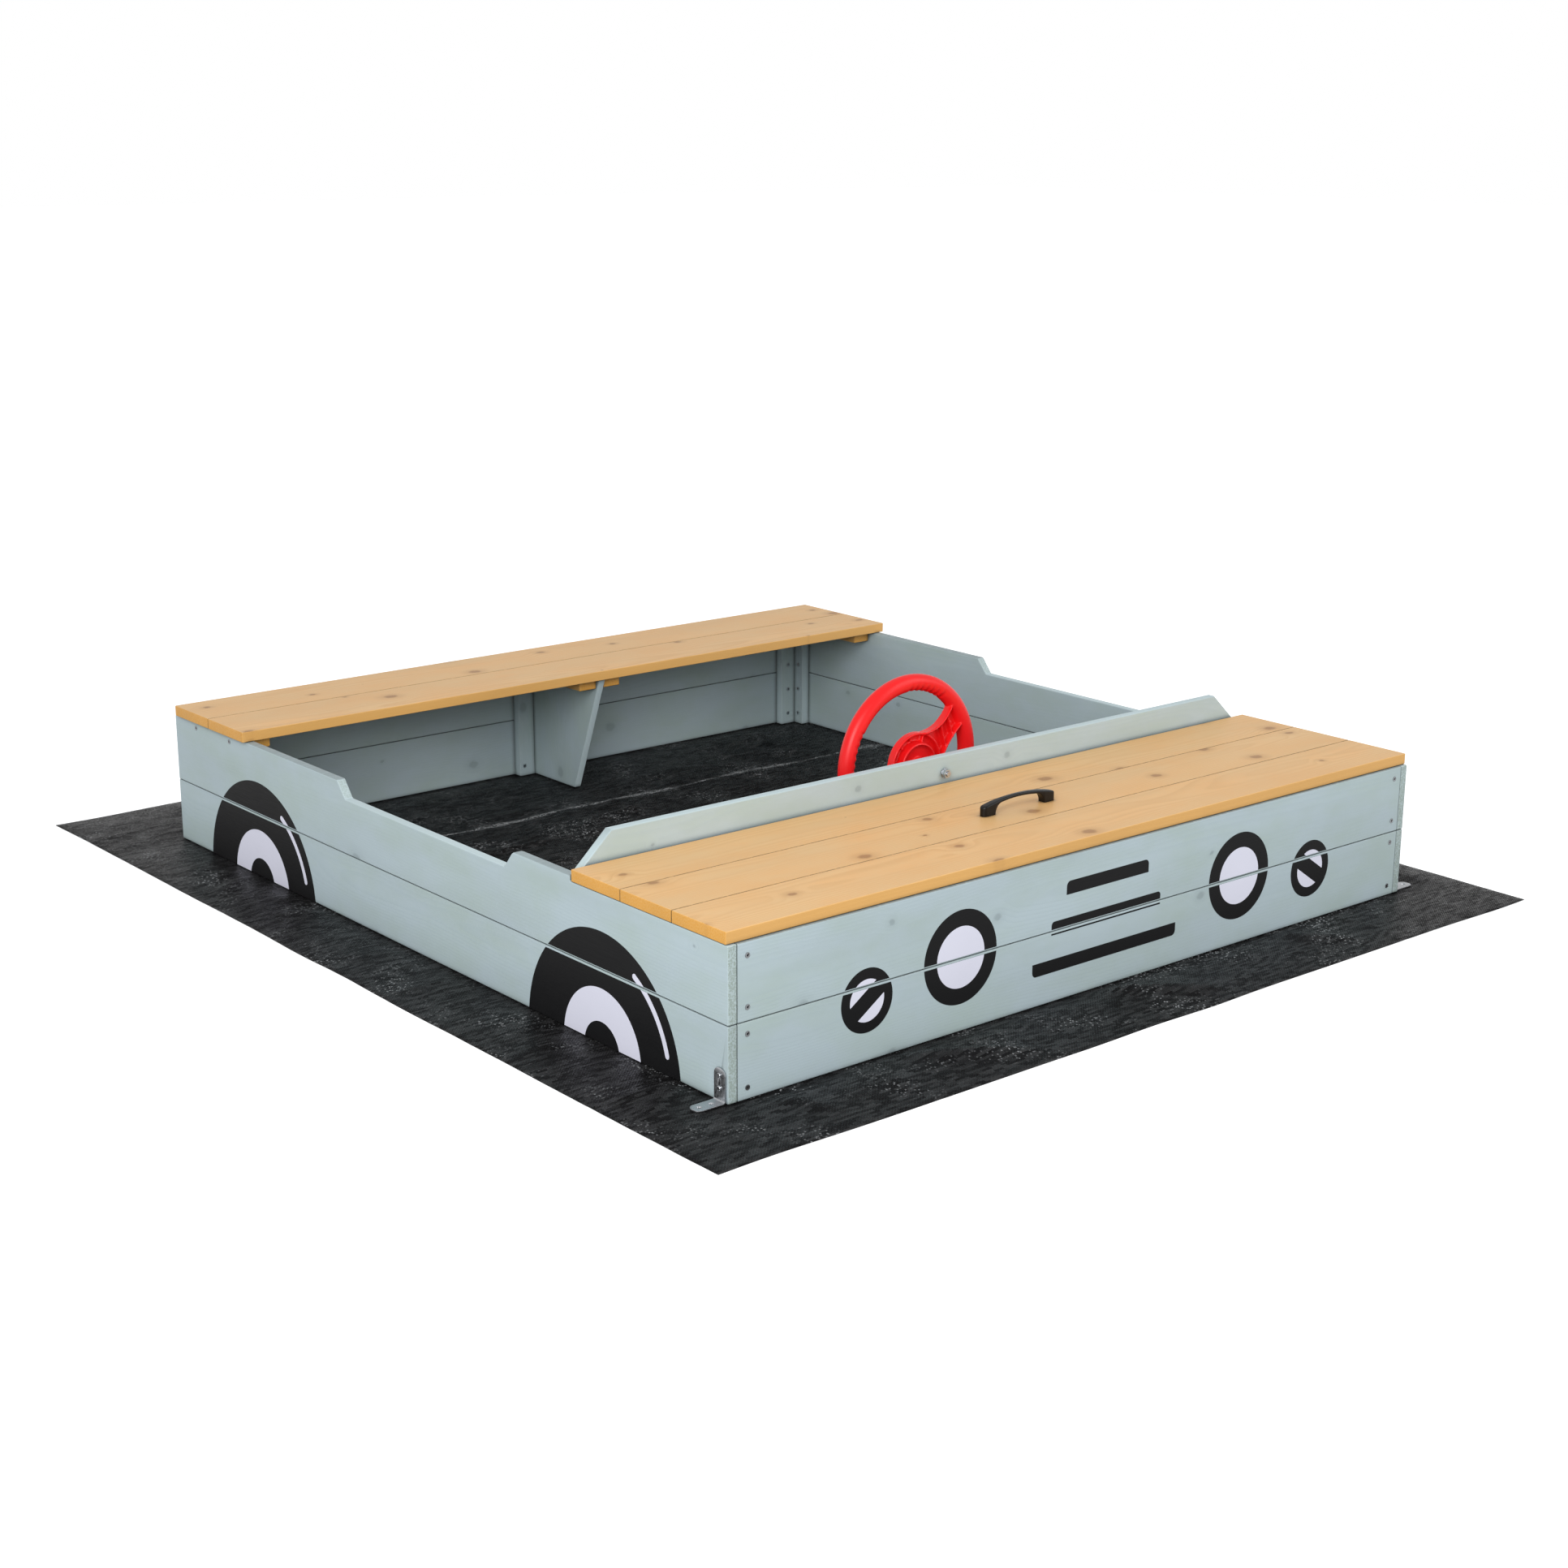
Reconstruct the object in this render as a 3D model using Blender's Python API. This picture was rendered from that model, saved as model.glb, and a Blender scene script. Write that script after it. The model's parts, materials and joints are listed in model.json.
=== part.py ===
"""A child's sandpit in the shape of a car, in metres, +Z up.

The front of the car faces -Y and its left-hand wall, seen from the front, is at -X. The origin is on the
ground, at the middle of the ground sheet. Painted boards make four walls and a dashboard wall. In front of
the dashboard is a storage box under a lift-off lid, behind it the sand area with a steering wheel, and at
the back a bench.
"""
import math

import bmesh
import bpy
from mathutils import Matrix

# Overall sizes
WIDTH = 1.500
LENGTH = 1.640
GAP = 0.0003
TURNED_SEGMENTS = 32
SMALL_SEGMENTS = 12

# Ground sheet: how far it reaches past the walls
SHEET_T = 0.001
SHEET_EDGE = 0.0002
SHEET_SIDE = 0.137
SHEET_FRONT = 0.151
SHEET_REAR = 0.229

# Wall boards, heights above the ground
BOARD_T = 0.016
BOARD_EDGE = 0.002
LOWER_BOARD_TOP = 0.116
SIDE_TOP = 0.241
DIP_DEPTH = 0.029
DIP_STEP = 0.024
CREST_LENGTH = 0.150
CREST_ROUND = 0.016
DIP_ROUND = 0.006
BENCH_TO_DIP = 0.340

# Dashboard wall
DASH_BOARD = 0.116
DASH_TOP = 0.296
DASH_CHAMFER = 0.060

# Storage lid
LID_T = 0.019
LID_NOTCH = 0.0093
LID_BOARD = 0.121
LID_BOARDS = 3
LID_SETBACK = 0.005
LID_CLEARANCE = 0.003
LID_BATTEN_INSET = 0.300
LID_BATTEN_SETBACK = 0.030
LID_BATTEN_CLEARANCE = 0.006
TIMBER_EDGE = 0.0015

# Bench
BENCH_T = 0.019
BENCH_BOARD = 0.130
BENCH_BOARDS = 2
BENCH_OVERHANG = 0.008
BENCH_REAR_SETBACK = 0.018
CLEAT_W = 0.040
CLEAT_H = 0.020
CLEAT_SETBACK = 0.020
GUSSET_SETBACK = 0.010
GUSSET_FOOT = 0.160

# Battens that join the walls
BATTEN_T = 0.020
BATTEN_W = 0.036
SIDE_BATTEN_W = 0.046
BATTEN_TOP_CLEARANCE = 0.004

# Angle brackets at the bottom front corners
BRACKET_LEG = 0.051
BRACKET_FOOT = 0.050
BRACKET_W = 0.0245
BRACKET_T = 0.002
BRACKET_ROUND = 0.0105
BRACKET_FROM_END = 0.0165
BRACKET_LEG_HOLES = (0.0210, 0.0400)
BRACKET_FOOT_HOLES = (0.0170, 0.0375)
BRACKET_HOLE_R = 0.00225
BRACKET_SCREW_R = 0.00175
BRACKET_SCREW_L = 0.014
BRACKET_HEAD_R = 0.0036
BRACKET_HEAD_H = 0.0020

# Shape of a pan head: how much of its height is its straight side, and of its radius its flat top
PAN_SIDE = 0.6
PAN_TOP = 0.75

# Lid handle
HANDLE_LENGTH = 0.160
HANDLE_HEIGHT = 0.025
HANDLE_W = 0.014
HANDLE_BAR = 0.008
HANDLE_SPRING = 0.015
HANDLE_FOOT = 0.025
HANDLE_PITCH = 0.128
HANDLE_OFFSET = -0.0145
HANDLE_SCREW_R = 0.0020
HANDLE_SCREW_DEPTH = 0.009
HANDLE_HEAD_R = 0.0042
HANDLE_HEAD_H = 0.0025

# Steering wheel, seen from the front; its axis runs along Y
WHEEL_R = 0.150
WHEEL_RIM_R = 0.0145
RIM_SEGMENTS = 56
RIM_TUBE_SEGMENTS = 12
WHEEL_FROM_DASH = 0.074
WHEEL_BELOW_DASH_TOP = 0.029
WHEEL_TURN = math.radians(30.0)
SPOKE_ANGLES = (0.0, 180.0, 270.0)
HUB_R = 0.0545
HUB_WALL = 0.004
HUB_DISH = 0.014
HUB_BACK = -0.025
HUB_SHOULDER = -0.0085
HUB_FACE = -0.004
CUP_R = 0.038
CUP_BACK = -0.031
CUP_FLOOR = -0.020
BOSS_R = 0.012
BOSS_BACK = -0.040
RECESS_R = 0.016
RECESS_FLOOR = -0.014
SPOKE_HUB_W = 0.052
SPOKE_RIM_W = 0.036
SPOKE_WALL = 0.004
RIM_BITE = 1.5
SPOKE_BACK = -0.0105
SPOKE_FACE = 0.007
CAP_R = 0.030
CAP_TOP_R = 0.021
CAP_H = 0.006

# Wheel bolt and what is on it
BOLT_R = 0.004
BOLT_CLEARANCE = 0.0004
BOLT_HEAD_H = 0.0053
BOLT_ACROSS_FLATS = 0.013
WASHER_R = 0.008
WASHER_T = 0.0016
NUT_H = 0.0065
BOLT_PAST_NUT = 0.003
BUSH_R = 0.015

# Places that follow from the sizes above, along Y from the front face and up from the ground
SHEET_LENGTH = SHEET_FRONT + LENGTH + SHEET_REAR
FRONT_Y = SHEET_FRONT - SHEET_LENGTH / 2
REAR_Y = FRONT_Y + LENGTH
BASE_Z = SHEET_T + GAP
INNER_X = WIDTH / 2 - BOARD_T
LID_SEAT = SIDE_TOP - LID_NOTCH
LID_BOTTOM = LID_SEAT + GAP
LID_TOP = LID_BOTTOM + LID_T
LID_FRONT_Y = FRONT_Y + LID_SETBACK
LID_REAR_Y = LID_FRONT_Y + LID_BOARDS * LID_BOARD
DASH_Y = LID_REAR_Y + LID_CLEARANCE
DASH_BACK_Y = DASH_Y + BOARD_T
BENCH_BOTTOM = SIDE_TOP + GAP
BENCH_REAR_Y = REAR_Y - BENCH_REAR_SETBACK
BENCH_FRONT_Y = BENCH_REAR_Y - BENCH_BOARDS * BENCH_BOARD
REAR_INNER_Y = REAR_Y - BOARD_T
WHEEL_Y = DASH_BACK_Y + WHEEL_FROM_DASH
WHEEL_Z = DASH_TOP - WHEEL_BELOW_DASH_TOP
HANDLE_Y = (LID_FRONT_Y + LID_REAR_Y) / 2
BORE_R = BOLT_R + BOLT_CLEARANCE


def linear(colour):
    """Linear RGBA from an sRGB hex colour."""
    channels = [int(colour[i : i + 2], 16) / 255 for i in (1, 3, 5)]
    return [c / 12.92 if c <= 0.04045 else ((c + 0.055) / 1.055) ** 2.4 for c in channels] + [1.0]


def finish(name, colour, roughness, metallic=0.0):
    """A Principled material."""
    material = bpy.data.materials.new(name)
    material.use_nodes = True
    shader = material.node_tree.nodes["Principled BSDF"]
    shader.inputs["Base Color"].default_value = linear(colour)
    shader.inputs["Roughness"].default_value = roughness
    shader.inputs["Metallic"].default_value = metallic
    material.diffuse_color = linear(colour)
    return material


def place(name, shape, material, location=(0.0, 0.0, 0.0), smooth=False):
    """A named object from a bmesh, which is freed."""
    mesh = bpy.data.meshes.new(name)
    bmesh.ops.recalc_face_normals(shape, faces=shape.faces)
    shape.to_mesh(mesh)
    shape.free()
    if smooth:
        mesh.shade_smooth()
        mesh.set_sharp_from_angle(angle=math.radians(35))
    if material:
        mesh.materials.append(material)
    part = bpy.data.objects.new(name, mesh)
    part.location = location
    bpy.context.scene.collection.objects.link(part)
    return part


def round_edges(part, radius, segments=1):
    """Rounds the part's long edges, and leaves the facets of its fillets."""
    bevel = part.modifiers.new("edges", "BEVEL")
    bevel.width = radius
    bevel.segments = segments
    bevel.limit_method = "ANGLE"
    bevel.angle_limit = math.radians(50)


def combine(part, tool, operation):
    """A Boolean with a helper object that isn't part of the model itself."""
    tool.hide_render = True
    tool.display_type = "WIRE"
    boolean = part.modifiers.new(operation.lower(), "BOOLEAN")
    boolean.operation = operation
    boolean.solver = "EXACT"
    boolean.object = tool


def block(name, low, high, material, edge=BOARD_EDGE, segments=2):
    """A straight board or batten between two corners, with its edges rounded."""
    centre = [(a + b) / 2 for a, b in zip(low, high)]
    size = [b - a for a, b in zip(low, high)]
    shape = bmesh.new()
    bmesh.ops.create_cube(shape, size=1.0)
    bmesh.ops.scale(shape, vec=size, verts=shape.verts)
    part = place(name, shape, material, centre)
    round_edges(part, edge, segments)
    return part


def fillet(corner, before, after, radius, steps=4):
    """The points of an arc that rounds one corner of an outline."""
    to_before = [b - c for b, c in zip(before, corner)]
    to_after = [a - c for a, c in zip(after, corner)]
    turn = math.atan2(to_after[1], to_after[0]) - math.atan2(to_before[1], to_before[0])
    turn = (turn + math.pi) % (2 * math.pi) - math.pi
    reach = radius / abs(math.tan(turn / 2))
    start = math.atan2(to_before[1], to_before[0])
    middle = start + turn / 2
    away = radius / abs(math.sin(turn / 2))
    centre = [corner[0] + away * math.cos(middle), corner[1] + away * math.sin(middle)]
    first = [corner[0] + reach * math.cos(start), corner[1] + reach * math.sin(start)]
    last = [corner[0] + reach * math.cos(start + turn), corner[1] + reach * math.sin(start + turn)]
    a0 = math.atan2(first[1] - centre[1], first[0] - centre[0])
    sweep = math.atan2(last[1] - centre[1], last[0] - centre[0]) - a0
    sweep = (sweep + math.pi) % (2 * math.pi) - math.pi
    angles = [a0 + sweep * i / steps for i in range(steps + 1)]
    return [(centre[0] + radius * math.cos(a), centre[1] + radius * math.sin(a)) for a in angles]


def rounded_outline(corners):
    """An outline from (a, b, radius) corners; a radius of 0 stays sharp."""
    points = []
    for i, (a, b, radius) in enumerate(corners):
        if radius:
            after = corners[(i + 1) % len(corners)]
            points += fillet((a, b), corners[i - 1][:2], after[:2], radius)
        else:
            points.append((a, b))
    return points


def prism(name, outline, axis, low, high, material, location=(0.0, 0.0, 0.0), smooth=False):
    """An outline in the two other axes, extruded along one axis from low to high."""
    shape = bmesh.new()
    corners = []
    for a, b in outline:
        point = [a, b]
        point.insert(axis, low)
        corners.append(shape.verts.new(point))
    face = shape.faces.new(corners)
    depth = [0.0, 0.0, 0.0]
    depth[axis] = high - low
    grown = bmesh.ops.extrude_face_region(shape, geom=[face])["geom"]
    moved = [v for v in grown if isinstance(v, bmesh.types.BMVert)]
    bmesh.ops.translate(shape, verts=moved, vec=depth)
    return place(name, shape, material, location, smooth)


def turned(name, profile, steps, material, location=(0.0, 0.0, 0.0), axis="Y"):
    """A closed (radius, height) profile turned about an axis through the object's origin."""
    shape = bmesh.new()
    rings = []
    for radius, height in profile:
        if radius == 0.0:
            rings.append([shape.verts.new((0.0, 0.0, height))] * steps)
            continue
        angles = [2 * math.pi * (i + 0.5) / steps for i in range(steps)]
        ring = [(radius * math.cos(a), radius * math.sin(a), height) for a in angles]
        rings.append([shape.verts.new(point) for point in ring])
    for ring, after in zip(rings, rings[1:] + rings[:1]):
        for i in range(steps):
            j = (i + 1) % steps
            corners = [ring[i], ring[j], after[j], after[i]]
            corners = [v for k, v in enumerate(corners) if v is not corners[k - 1]]
            if len(corners) > 2:
                shape.faces.new(corners)
    turns = {"X": ("Y", math.pi / 2), "Y": ("X", -math.pi / 2), "Z": ("Z", 0.0)}
    around, angle = turns[axis]
    matrix = rotation(around, angle)
    bmesh.ops.transform(shape, matrix=matrix, verts=shape.verts)
    return place(name, shape, material, location, smooth=True)


def rotation(axis, angle):
    """A rotation matrix about one of the main axes."""
    return Matrix.Rotation(angle, 4, axis)


def drill(part, axis, centre, radius, low, high, steps=16):
    """Cuts a round hole through or into a part, along one axis from low to high."""
    profile = [(0.0, low), (radius, low), (radius, high), (0.0, high)]
    location = list(centre)
    location["XYZ".index(axis)] = 0.0
    cutter = turned(part.name + "_drill", profile, steps, None, location, axis)
    combine(part, cutter, "DIFFERENCE")


def screw(name, axis, tip, head_r, head_h, shank_r, length, outward, material):
    """A pan-head screw whose tip is at the given point; outward is +1 or -1 along its axis."""
    crown = length + head_h
    profile = [(0.0, 0.0), (shank_r, shank_r), (shank_r, length), (head_r, length)]
    profile += [(head_r, length + PAN_SIDE * head_h), (PAN_TOP * head_r, crown), (0.0, crown)]
    profile = [(r, outward * h) for r, h in profile]
    return turned(name, profile, SMALL_SEGMENTS, material, tip, axis)


def make_finishes():
    """Every material of the object."""
    return {
        "board": finish("painted_board", "#AFBBC0", 0.55),
        "batten": finish("painted_batten", "#9AA8AC", 0.60),
        "timber": finish("honey_timber", "#DFB982", 0.45),
        "sheet": finish("woven_sheet", "#242426", 0.60),
        "wheel": finish("red_plastic", "#D8262C", 0.35),
        "handle": finish("black_plastic", "#1E1A18", 0.35),
        "zinc": finish("zinc_steel", "#B9BCC0", 0.35, 1.0),
        "bush": finish("grey_plastic", "#3A3A3C", 0.45),
    }


def make_sheet(finishes):
    """The ground sheet, laid flat."""
    half = WIDTH / 2 + SHEET_SIDE
    low = (-half, -SHEET_LENGTH / 2, 0.0)
    block("ground_sheet", low, (half, SHEET_LENGTH / 2, SHEET_T), finishes["sheet"], SHEET_EDGE, 1)


def side_outline():
    """The upper side board, as (y, z, radius) corners: lid notch, crest, dip and bench seat."""
    dip_z = SIDE_TOP - DIP_DEPTH
    crest_end = DASH_Y + CREST_LENGTH
    dip_end = BENCH_FRONT_Y - BENCH_TO_DIP
    return [
        (FRONT_Y, LOWER_BOARD_TOP + GAP, 0.0),
        (REAR_Y, LOWER_BOARD_TOP + GAP, 0.0),
        (REAR_Y, SIDE_TOP, DIP_ROUND),
        (dip_end + DIP_STEP, SIDE_TOP, DIP_ROUND),
        (dip_end, dip_z, DIP_ROUND),
        (crest_end + DIP_STEP, dip_z, DIP_ROUND),
        (crest_end, SIDE_TOP, CREST_ROUND),
        (DASH_Y, SIDE_TOP, 0.0),
        (DASH_Y, LID_SEAT, 0.0),
        (FRONT_Y, LID_SEAT, 0.0),
    ]


def make_side_walls(finishes):
    """Two boards on each side, outside the ends of the other walls."""
    for side, sign in (("left", -1), ("right", 1)):
        inner, outer = sorted((sign * INNER_X, sign * WIDTH / 2))
        low = (inner, FRONT_Y, BASE_Z)
        lower = block(side + "_board_lower", low, (outer, REAR_Y, LOWER_BOARD_TOP), finishes["board"])
        pilot_end = sign * (WIDTH / 2 - BRACKET_SCREW_L)
        ends = sorted((pilot_end, sign * (WIDTH / 2 + BRACKET_T)))
        for z in BRACKET_LEG_HOLES:
            centre = (0.0, FRONT_Y + BRACKET_FROM_END, BASE_Z + z)
            drill(lower, "X", centre, BRACKET_SCREW_R + GAP, *ends, steps=SMALL_SEGMENTS)
        outline = rounded_outline(side_outline())
        name = side + "_board_upper"
        upper = prism(name, outline, 0, inner, outer, finishes["board"])
        round_edges(upper, BOARD_EDGE, 2)


def make_cross_walls(finishes):
    """Front wall, dashboard wall and rear wall, between the side boards."""
    reach = INNER_X - GAP
    walls = (
        ("front_board_lower", FRONT_Y, BASE_Z, LOWER_BOARD_TOP),
        ("front_board_upper", FRONT_Y, LOWER_BOARD_TOP + GAP, LID_SEAT),
        ("dash_board_lower", DASH_Y, BASE_Z, DASH_BOARD),
        ("dash_board_middle", DASH_Y, DASH_BOARD + GAP, 2 * DASH_BOARD),
        ("rear_board_lower", REAR_INNER_Y, BASE_Z, LOWER_BOARD_TOP),
        ("rear_board_upper", REAR_INNER_Y, LOWER_BOARD_TOP + GAP, SIDE_TOP),
    )
    for name, y, bottom, top in walls:
        block(name, (-reach, y, bottom), (reach, y + BOARD_T, top), finishes["board"])
    slope_x = reach - DASH_CHAMFER
    bottom = 2 * DASH_BOARD + GAP
    outline = [(-reach, bottom), (reach, bottom), (reach, SIDE_TOP), (slope_x, DASH_TOP)]
    outline += [(-slope_x, DASH_TOP), (-reach, SIDE_TOP)]
    board = prism("dash_board_top", outline, 1, DASH_Y, DASH_BACK_Y, finishes["board"])
    round_edges(board, BOARD_EDGE, 2)
    ends = (DASH_Y - BOARD_T, DASH_BACK_Y + BOARD_T)
    drill(board, "Y", (0.0, 0.0, WHEEL_Z), BORE_R, *ends)


def make_corner_battens(finishes):
    """Upright battens that join the walls in the corners and hold the dashboard."""
    side_x = INNER_X - GAP
    wall_x = side_x - BATTEN_T - GAP
    front_y = FRONT_Y + BOARD_T + GAP
    rear_y = REAR_INNER_Y - GAP
    front_top = LID_SEAT - BATTEN_TOP_CLEARANCE
    rear_top = SIDE_TOP - BATTEN_TOP_CLEARANCE
    for side, sign in (("left", -1), ("right", 1)):
        for end, near, way, top in (("front", front_y, 1, front_top), ("rear", rear_y, -1, rear_top)):
            xs = sorted((sign * side_x, sign * (side_x - BATTEN_T)))
            ys = sorted((near, near + way * SIDE_BATTEN_W))
            name = end + "_side_batten_" + side
            block(name, (xs[0], ys[0], BASE_Z), (xs[1], ys[1], top), finishes["batten"], TIMBER_EDGE, 1)
            xs = sorted((sign * wall_x, sign * (wall_x - BATTEN_W)))
            ys = sorted((near, near + way * BATTEN_T))
            name = end + "_wall_batten_" + side
            block(name, (xs[0], ys[0], BASE_Z), (xs[1], ys[1], top), finishes["batten"], TIMBER_EDGE, 1)
        xs = sorted((sign * side_x, sign * (side_x - BATTEN_W)))
        low = (xs[0], DASH_Y - GAP - BATTEN_T, BASE_Z)
        high = (xs[1], DASH_Y - GAP, front_top)
        block("dash_batten_" + side, low, high, finishes["batten"], TIMBER_EDGE, 1)
    low = (-BATTEN_W / 2, rear_y - BATTEN_T, BASE_Z)
    high = (BATTEN_W / 2, rear_y, rear_top)
    block("rear_centre_batten", low, high, finishes["batten"], TIMBER_EDGE, 1)


def make_bench(finishes):
    """The seat boards, their cleats, and the tapered gusset that holds up their middle."""
    timber = finishes["timber"]
    half = WIDTH / 2 + BENCH_OVERHANG
    for i, name in enumerate(("bench_board_front", "bench_board_rear")):
        y = BENCH_FRONT_Y + i * BENCH_BOARD
        high = (half, y + BENCH_BOARD - GAP, BENCH_BOTTOM + BENCH_T)
        block(name, (-half, y, BENCH_BOTTOM), high, timber, TIMBER_EDGE)
    front = BENCH_FRONT_Y + CLEAT_SETBACK
    bottom = SIDE_TOP - CLEAT_H
    gusset_x = BATTEN_W / 2 + GAP
    end_x = INNER_X - GAP
    corner_y = REAR_INNER_Y - GAP - SIDE_BATTEN_W - GAP
    batten_y = REAR_INNER_Y - GAP - BATTEN_T - GAP
    cleats = (
        ("bench_cleat_left", -end_x, corner_y),
        ("bench_cleat_right", end_x - CLEAT_W, corner_y),
        ("bench_cleat_centre_left", gusset_x - GAP - CLEAT_W, batten_y),
        ("bench_cleat_centre_right", gusset_x + BOARD_T + GAP, batten_y),
    )
    for name, x, rear in cleats:
        block(name, (x, front, bottom), (x + CLEAT_W, rear, SIDE_TOP), timber, TIMBER_EDGE, 1)
    rear = REAR_INNER_Y - GAP
    top_y = BENCH_FRONT_Y + GUSSET_SETBACK
    outline = [(rear, BASE_Z), (rear - GUSSET_FOOT, BASE_Z), (top_y, SIDE_TOP), (rear, SIDE_TOP)]
    ends = (gusset_x, gusset_x + BOARD_T)
    gusset = prism("bench_gusset", outline, 0, *ends, finishes["board"])
    round_edges(gusset, BOARD_EDGE)


def make_lid(finishes, lift):
    """Three boards on two battens, with the handle screwed on from below."""
    timber = finishes["timber"]
    names = ("lid_board_front", "lid_board_middle", "lid_board_rear")
    parts = []
    for i, name in enumerate(names):
        y = LID_FRONT_Y + i * LID_BOARD
        low = (-WIDTH / 2, y, LID_BOTTOM)
        high = (WIDTH / 2, y + LID_BOARD - GAP, LID_TOP)
        parts.append(block(name, low, high, timber, TIMBER_EDGE))
    for x in handle_holes():
        ends = (LID_BOTTOM - HANDLE_SCREW_DEPTH, LID_TOP + HANDLE_SCREW_DEPTH)
        drill(parts[1], "Z", (x, HANDLE_Y, 0.0), HANDLE_SCREW_R + GAP, *ends)
    batten_y = FRONT_Y + BOARD_T + LID_BATTEN_SETBACK
    top = LID_BOTTOM - GAP
    for side, sign in (("left", -1), ("right", 1)):
        x = sign * (WIDTH / 2 - LID_BATTEN_INSET)
        low = (x - BATTEN_W / 2, batten_y, top - BATTEN_T)
        high = (x + BATTEN_W / 2, DASH_Y - LID_BATTEN_CLEARANCE, top)
        parts.append(block("lid_batten_" + side, low, high, timber, TIMBER_EDGE, 1))
    parts.append(make_handle(finishes["handle"]))
    for side, x in zip(("left", "right"), handle_holes()):
        tip = (x, HANDLE_Y, LID_TOP + GAP + HANDLE_SCREW_DEPTH)
        length = HANDLE_SCREW_DEPTH + GAP + LID_T + GAP
        sizes = (HANDLE_HEAD_R, HANDLE_HEAD_H, HANDLE_SCREW_R, length)
        parts.append(screw("handle_screw_" + side, "Z", tip, *sizes, -1, finishes["zinc"]))
    for part in parts:
        part.parent = lift
        part.location = [a - b for a, b in zip(part.location, lift.location)]


def handle_holes():
    """Where the two handle screws stand, along X."""
    return (HANDLE_OFFSET - HANDLE_PITCH / 2, HANDLE_OFFSET + HANDLE_PITCH / 2)


def make_handle(material):
    """A bow handle: an arched bar between two feet."""
    half = HANDLE_LENGTH / 2
    inner = half - HANDLE_FOOT
    outer_arch = arch(half, HANDLE_SPRING, HANDLE_HEIGHT)
    inner_arch = arch(inner, HANDLE_SPRING - HANDLE_BAR, HANDLE_HEIGHT - HANDLE_BAR)
    outline = [(-half, 0.0)] + outer_arch + [(half, 0.0), (inner, 0.0)] + inner_arch[::-1] + [(-inner, 0.0)]
    location = (HANDLE_OFFSET, HANDLE_Y, LID_TOP + GAP)
    part = prism("lid_handle", outline, 1, -HANDLE_W / 2, HANDLE_W / 2, material, location, smooth=True)
    round_edges(part, TIMBER_EDGE)
    bottom = LID_TOP - HANDLE_HEIGHT
    top = LID_TOP + 2 * GAP + HANDLE_SCREW_DEPTH
    for x in handle_holes():
        drill(part, "Z", (x, HANDLE_Y, 0.0), HANDLE_SCREW_R + GAP, bottom, top, steps=SMALL_SEGMENTS)
    return part


def arch(half, spring, crown, steps=12):
    """Points of a shallow arch from (-half, spring) over (0, crown) to (half, spring)."""
    points = []
    for i in range(steps + 1):
        x = -half + 2 * half * i / steps
        points.append((x, spring + (crown - spring) * math.sqrt(max(0.0, 1 - (x / half) ** 2))))
    return points


def make_brackets(finishes):
    """An angle bracket by each front corner, with two screws in its upright leg."""
    zinc = finishes["zinc"]
    face = WIDTH / 2 + GAP
    y = FRONT_Y + BRACKET_FROM_END
    for side, sign in (("left", -1), ("right", 1)):
        bracket = make_bracket("angle_bracket_front_" + side, sign, y, zinc)
        ends = sorted((sign * (face - BRACKET_T), sign * (face + 2 * BRACKET_T)))
        for z in BRACKET_LEG_HOLES:
            drill(bracket, "X", (0.0, y, BASE_Z + z), BRACKET_HOLE_R, *ends, steps=SMALL_SEGMENTS)
        for x in BRACKET_FOOT_HOLES:
            centre = (sign * (face + x), y, 0.0)
            drill(bracket, "Z", centre, BRACKET_HOLE_R, 0.0, BASE_Z + 2 * BRACKET_T, steps=SMALL_SEGMENTS)
        length = BRACKET_T + BRACKET_SCREW_L
        sizes = (BRACKET_HEAD_R, BRACKET_HEAD_H, BRACKET_SCREW_R, length)
        for place_name, z in zip(("low", "high"), BRACKET_LEG_HOLES):
            tip = (sign * (face + BRACKET_T + GAP - length), y, BASE_Z + z)
            screw("bracket_screw_front_" + side + "_" + place_name, "X", tip, *sizes, sign, zinc)


def make_bracket(name, sign, y, material):
    """One bent strip: an upright leg on the wall and a foot on the sheet, with rounded ends."""
    face = WIDTH / 2 + GAP
    outline = [
        (sign * face, BASE_Z, 0.0),
        (sign * (face + BRACKET_FOOT), BASE_Z, 0.0),
        (sign * (face + BRACKET_FOOT), BASE_Z + BRACKET_T, 0.0),
        (sign * (face + BRACKET_T), BASE_Z + BRACKET_T, BRACKET_T),
        (sign * (face + BRACKET_T), BASE_Z + BRACKET_LEG, 0.0),
        (sign * face, BASE_Z + BRACKET_LEG, 0.0),
    ]
    half = BRACKET_W / 2
    part = prism(name, rounded_outline(outline), 1, y - half, y + half, material)
    shape = bmesh.new()
    shape.from_mesh(part.data)
    tips = []
    for edge in shape.edges:
        a, b = (v.co for v in edge.verts)
        on_foot = min(abs(a.x), abs(b.x)) > face + BRACKET_FOOT - GAP and abs(a.z - b.z) > GAP
        on_leg = min(a.z, b.z) > BASE_Z + BRACKET_LEG - GAP and abs(a.x - b.x) > GAP
        if (on_foot or on_leg) and abs(a.y - b.y) < GAP:
            tips.append(edge)
    bmesh.ops.bevel(shape, geom=tips, offset=BRACKET_ROUND, segments=5, profile=0.5, affect="EDGES")
    shape.to_mesh(part.data)
    shape.free()
    return part


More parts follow.
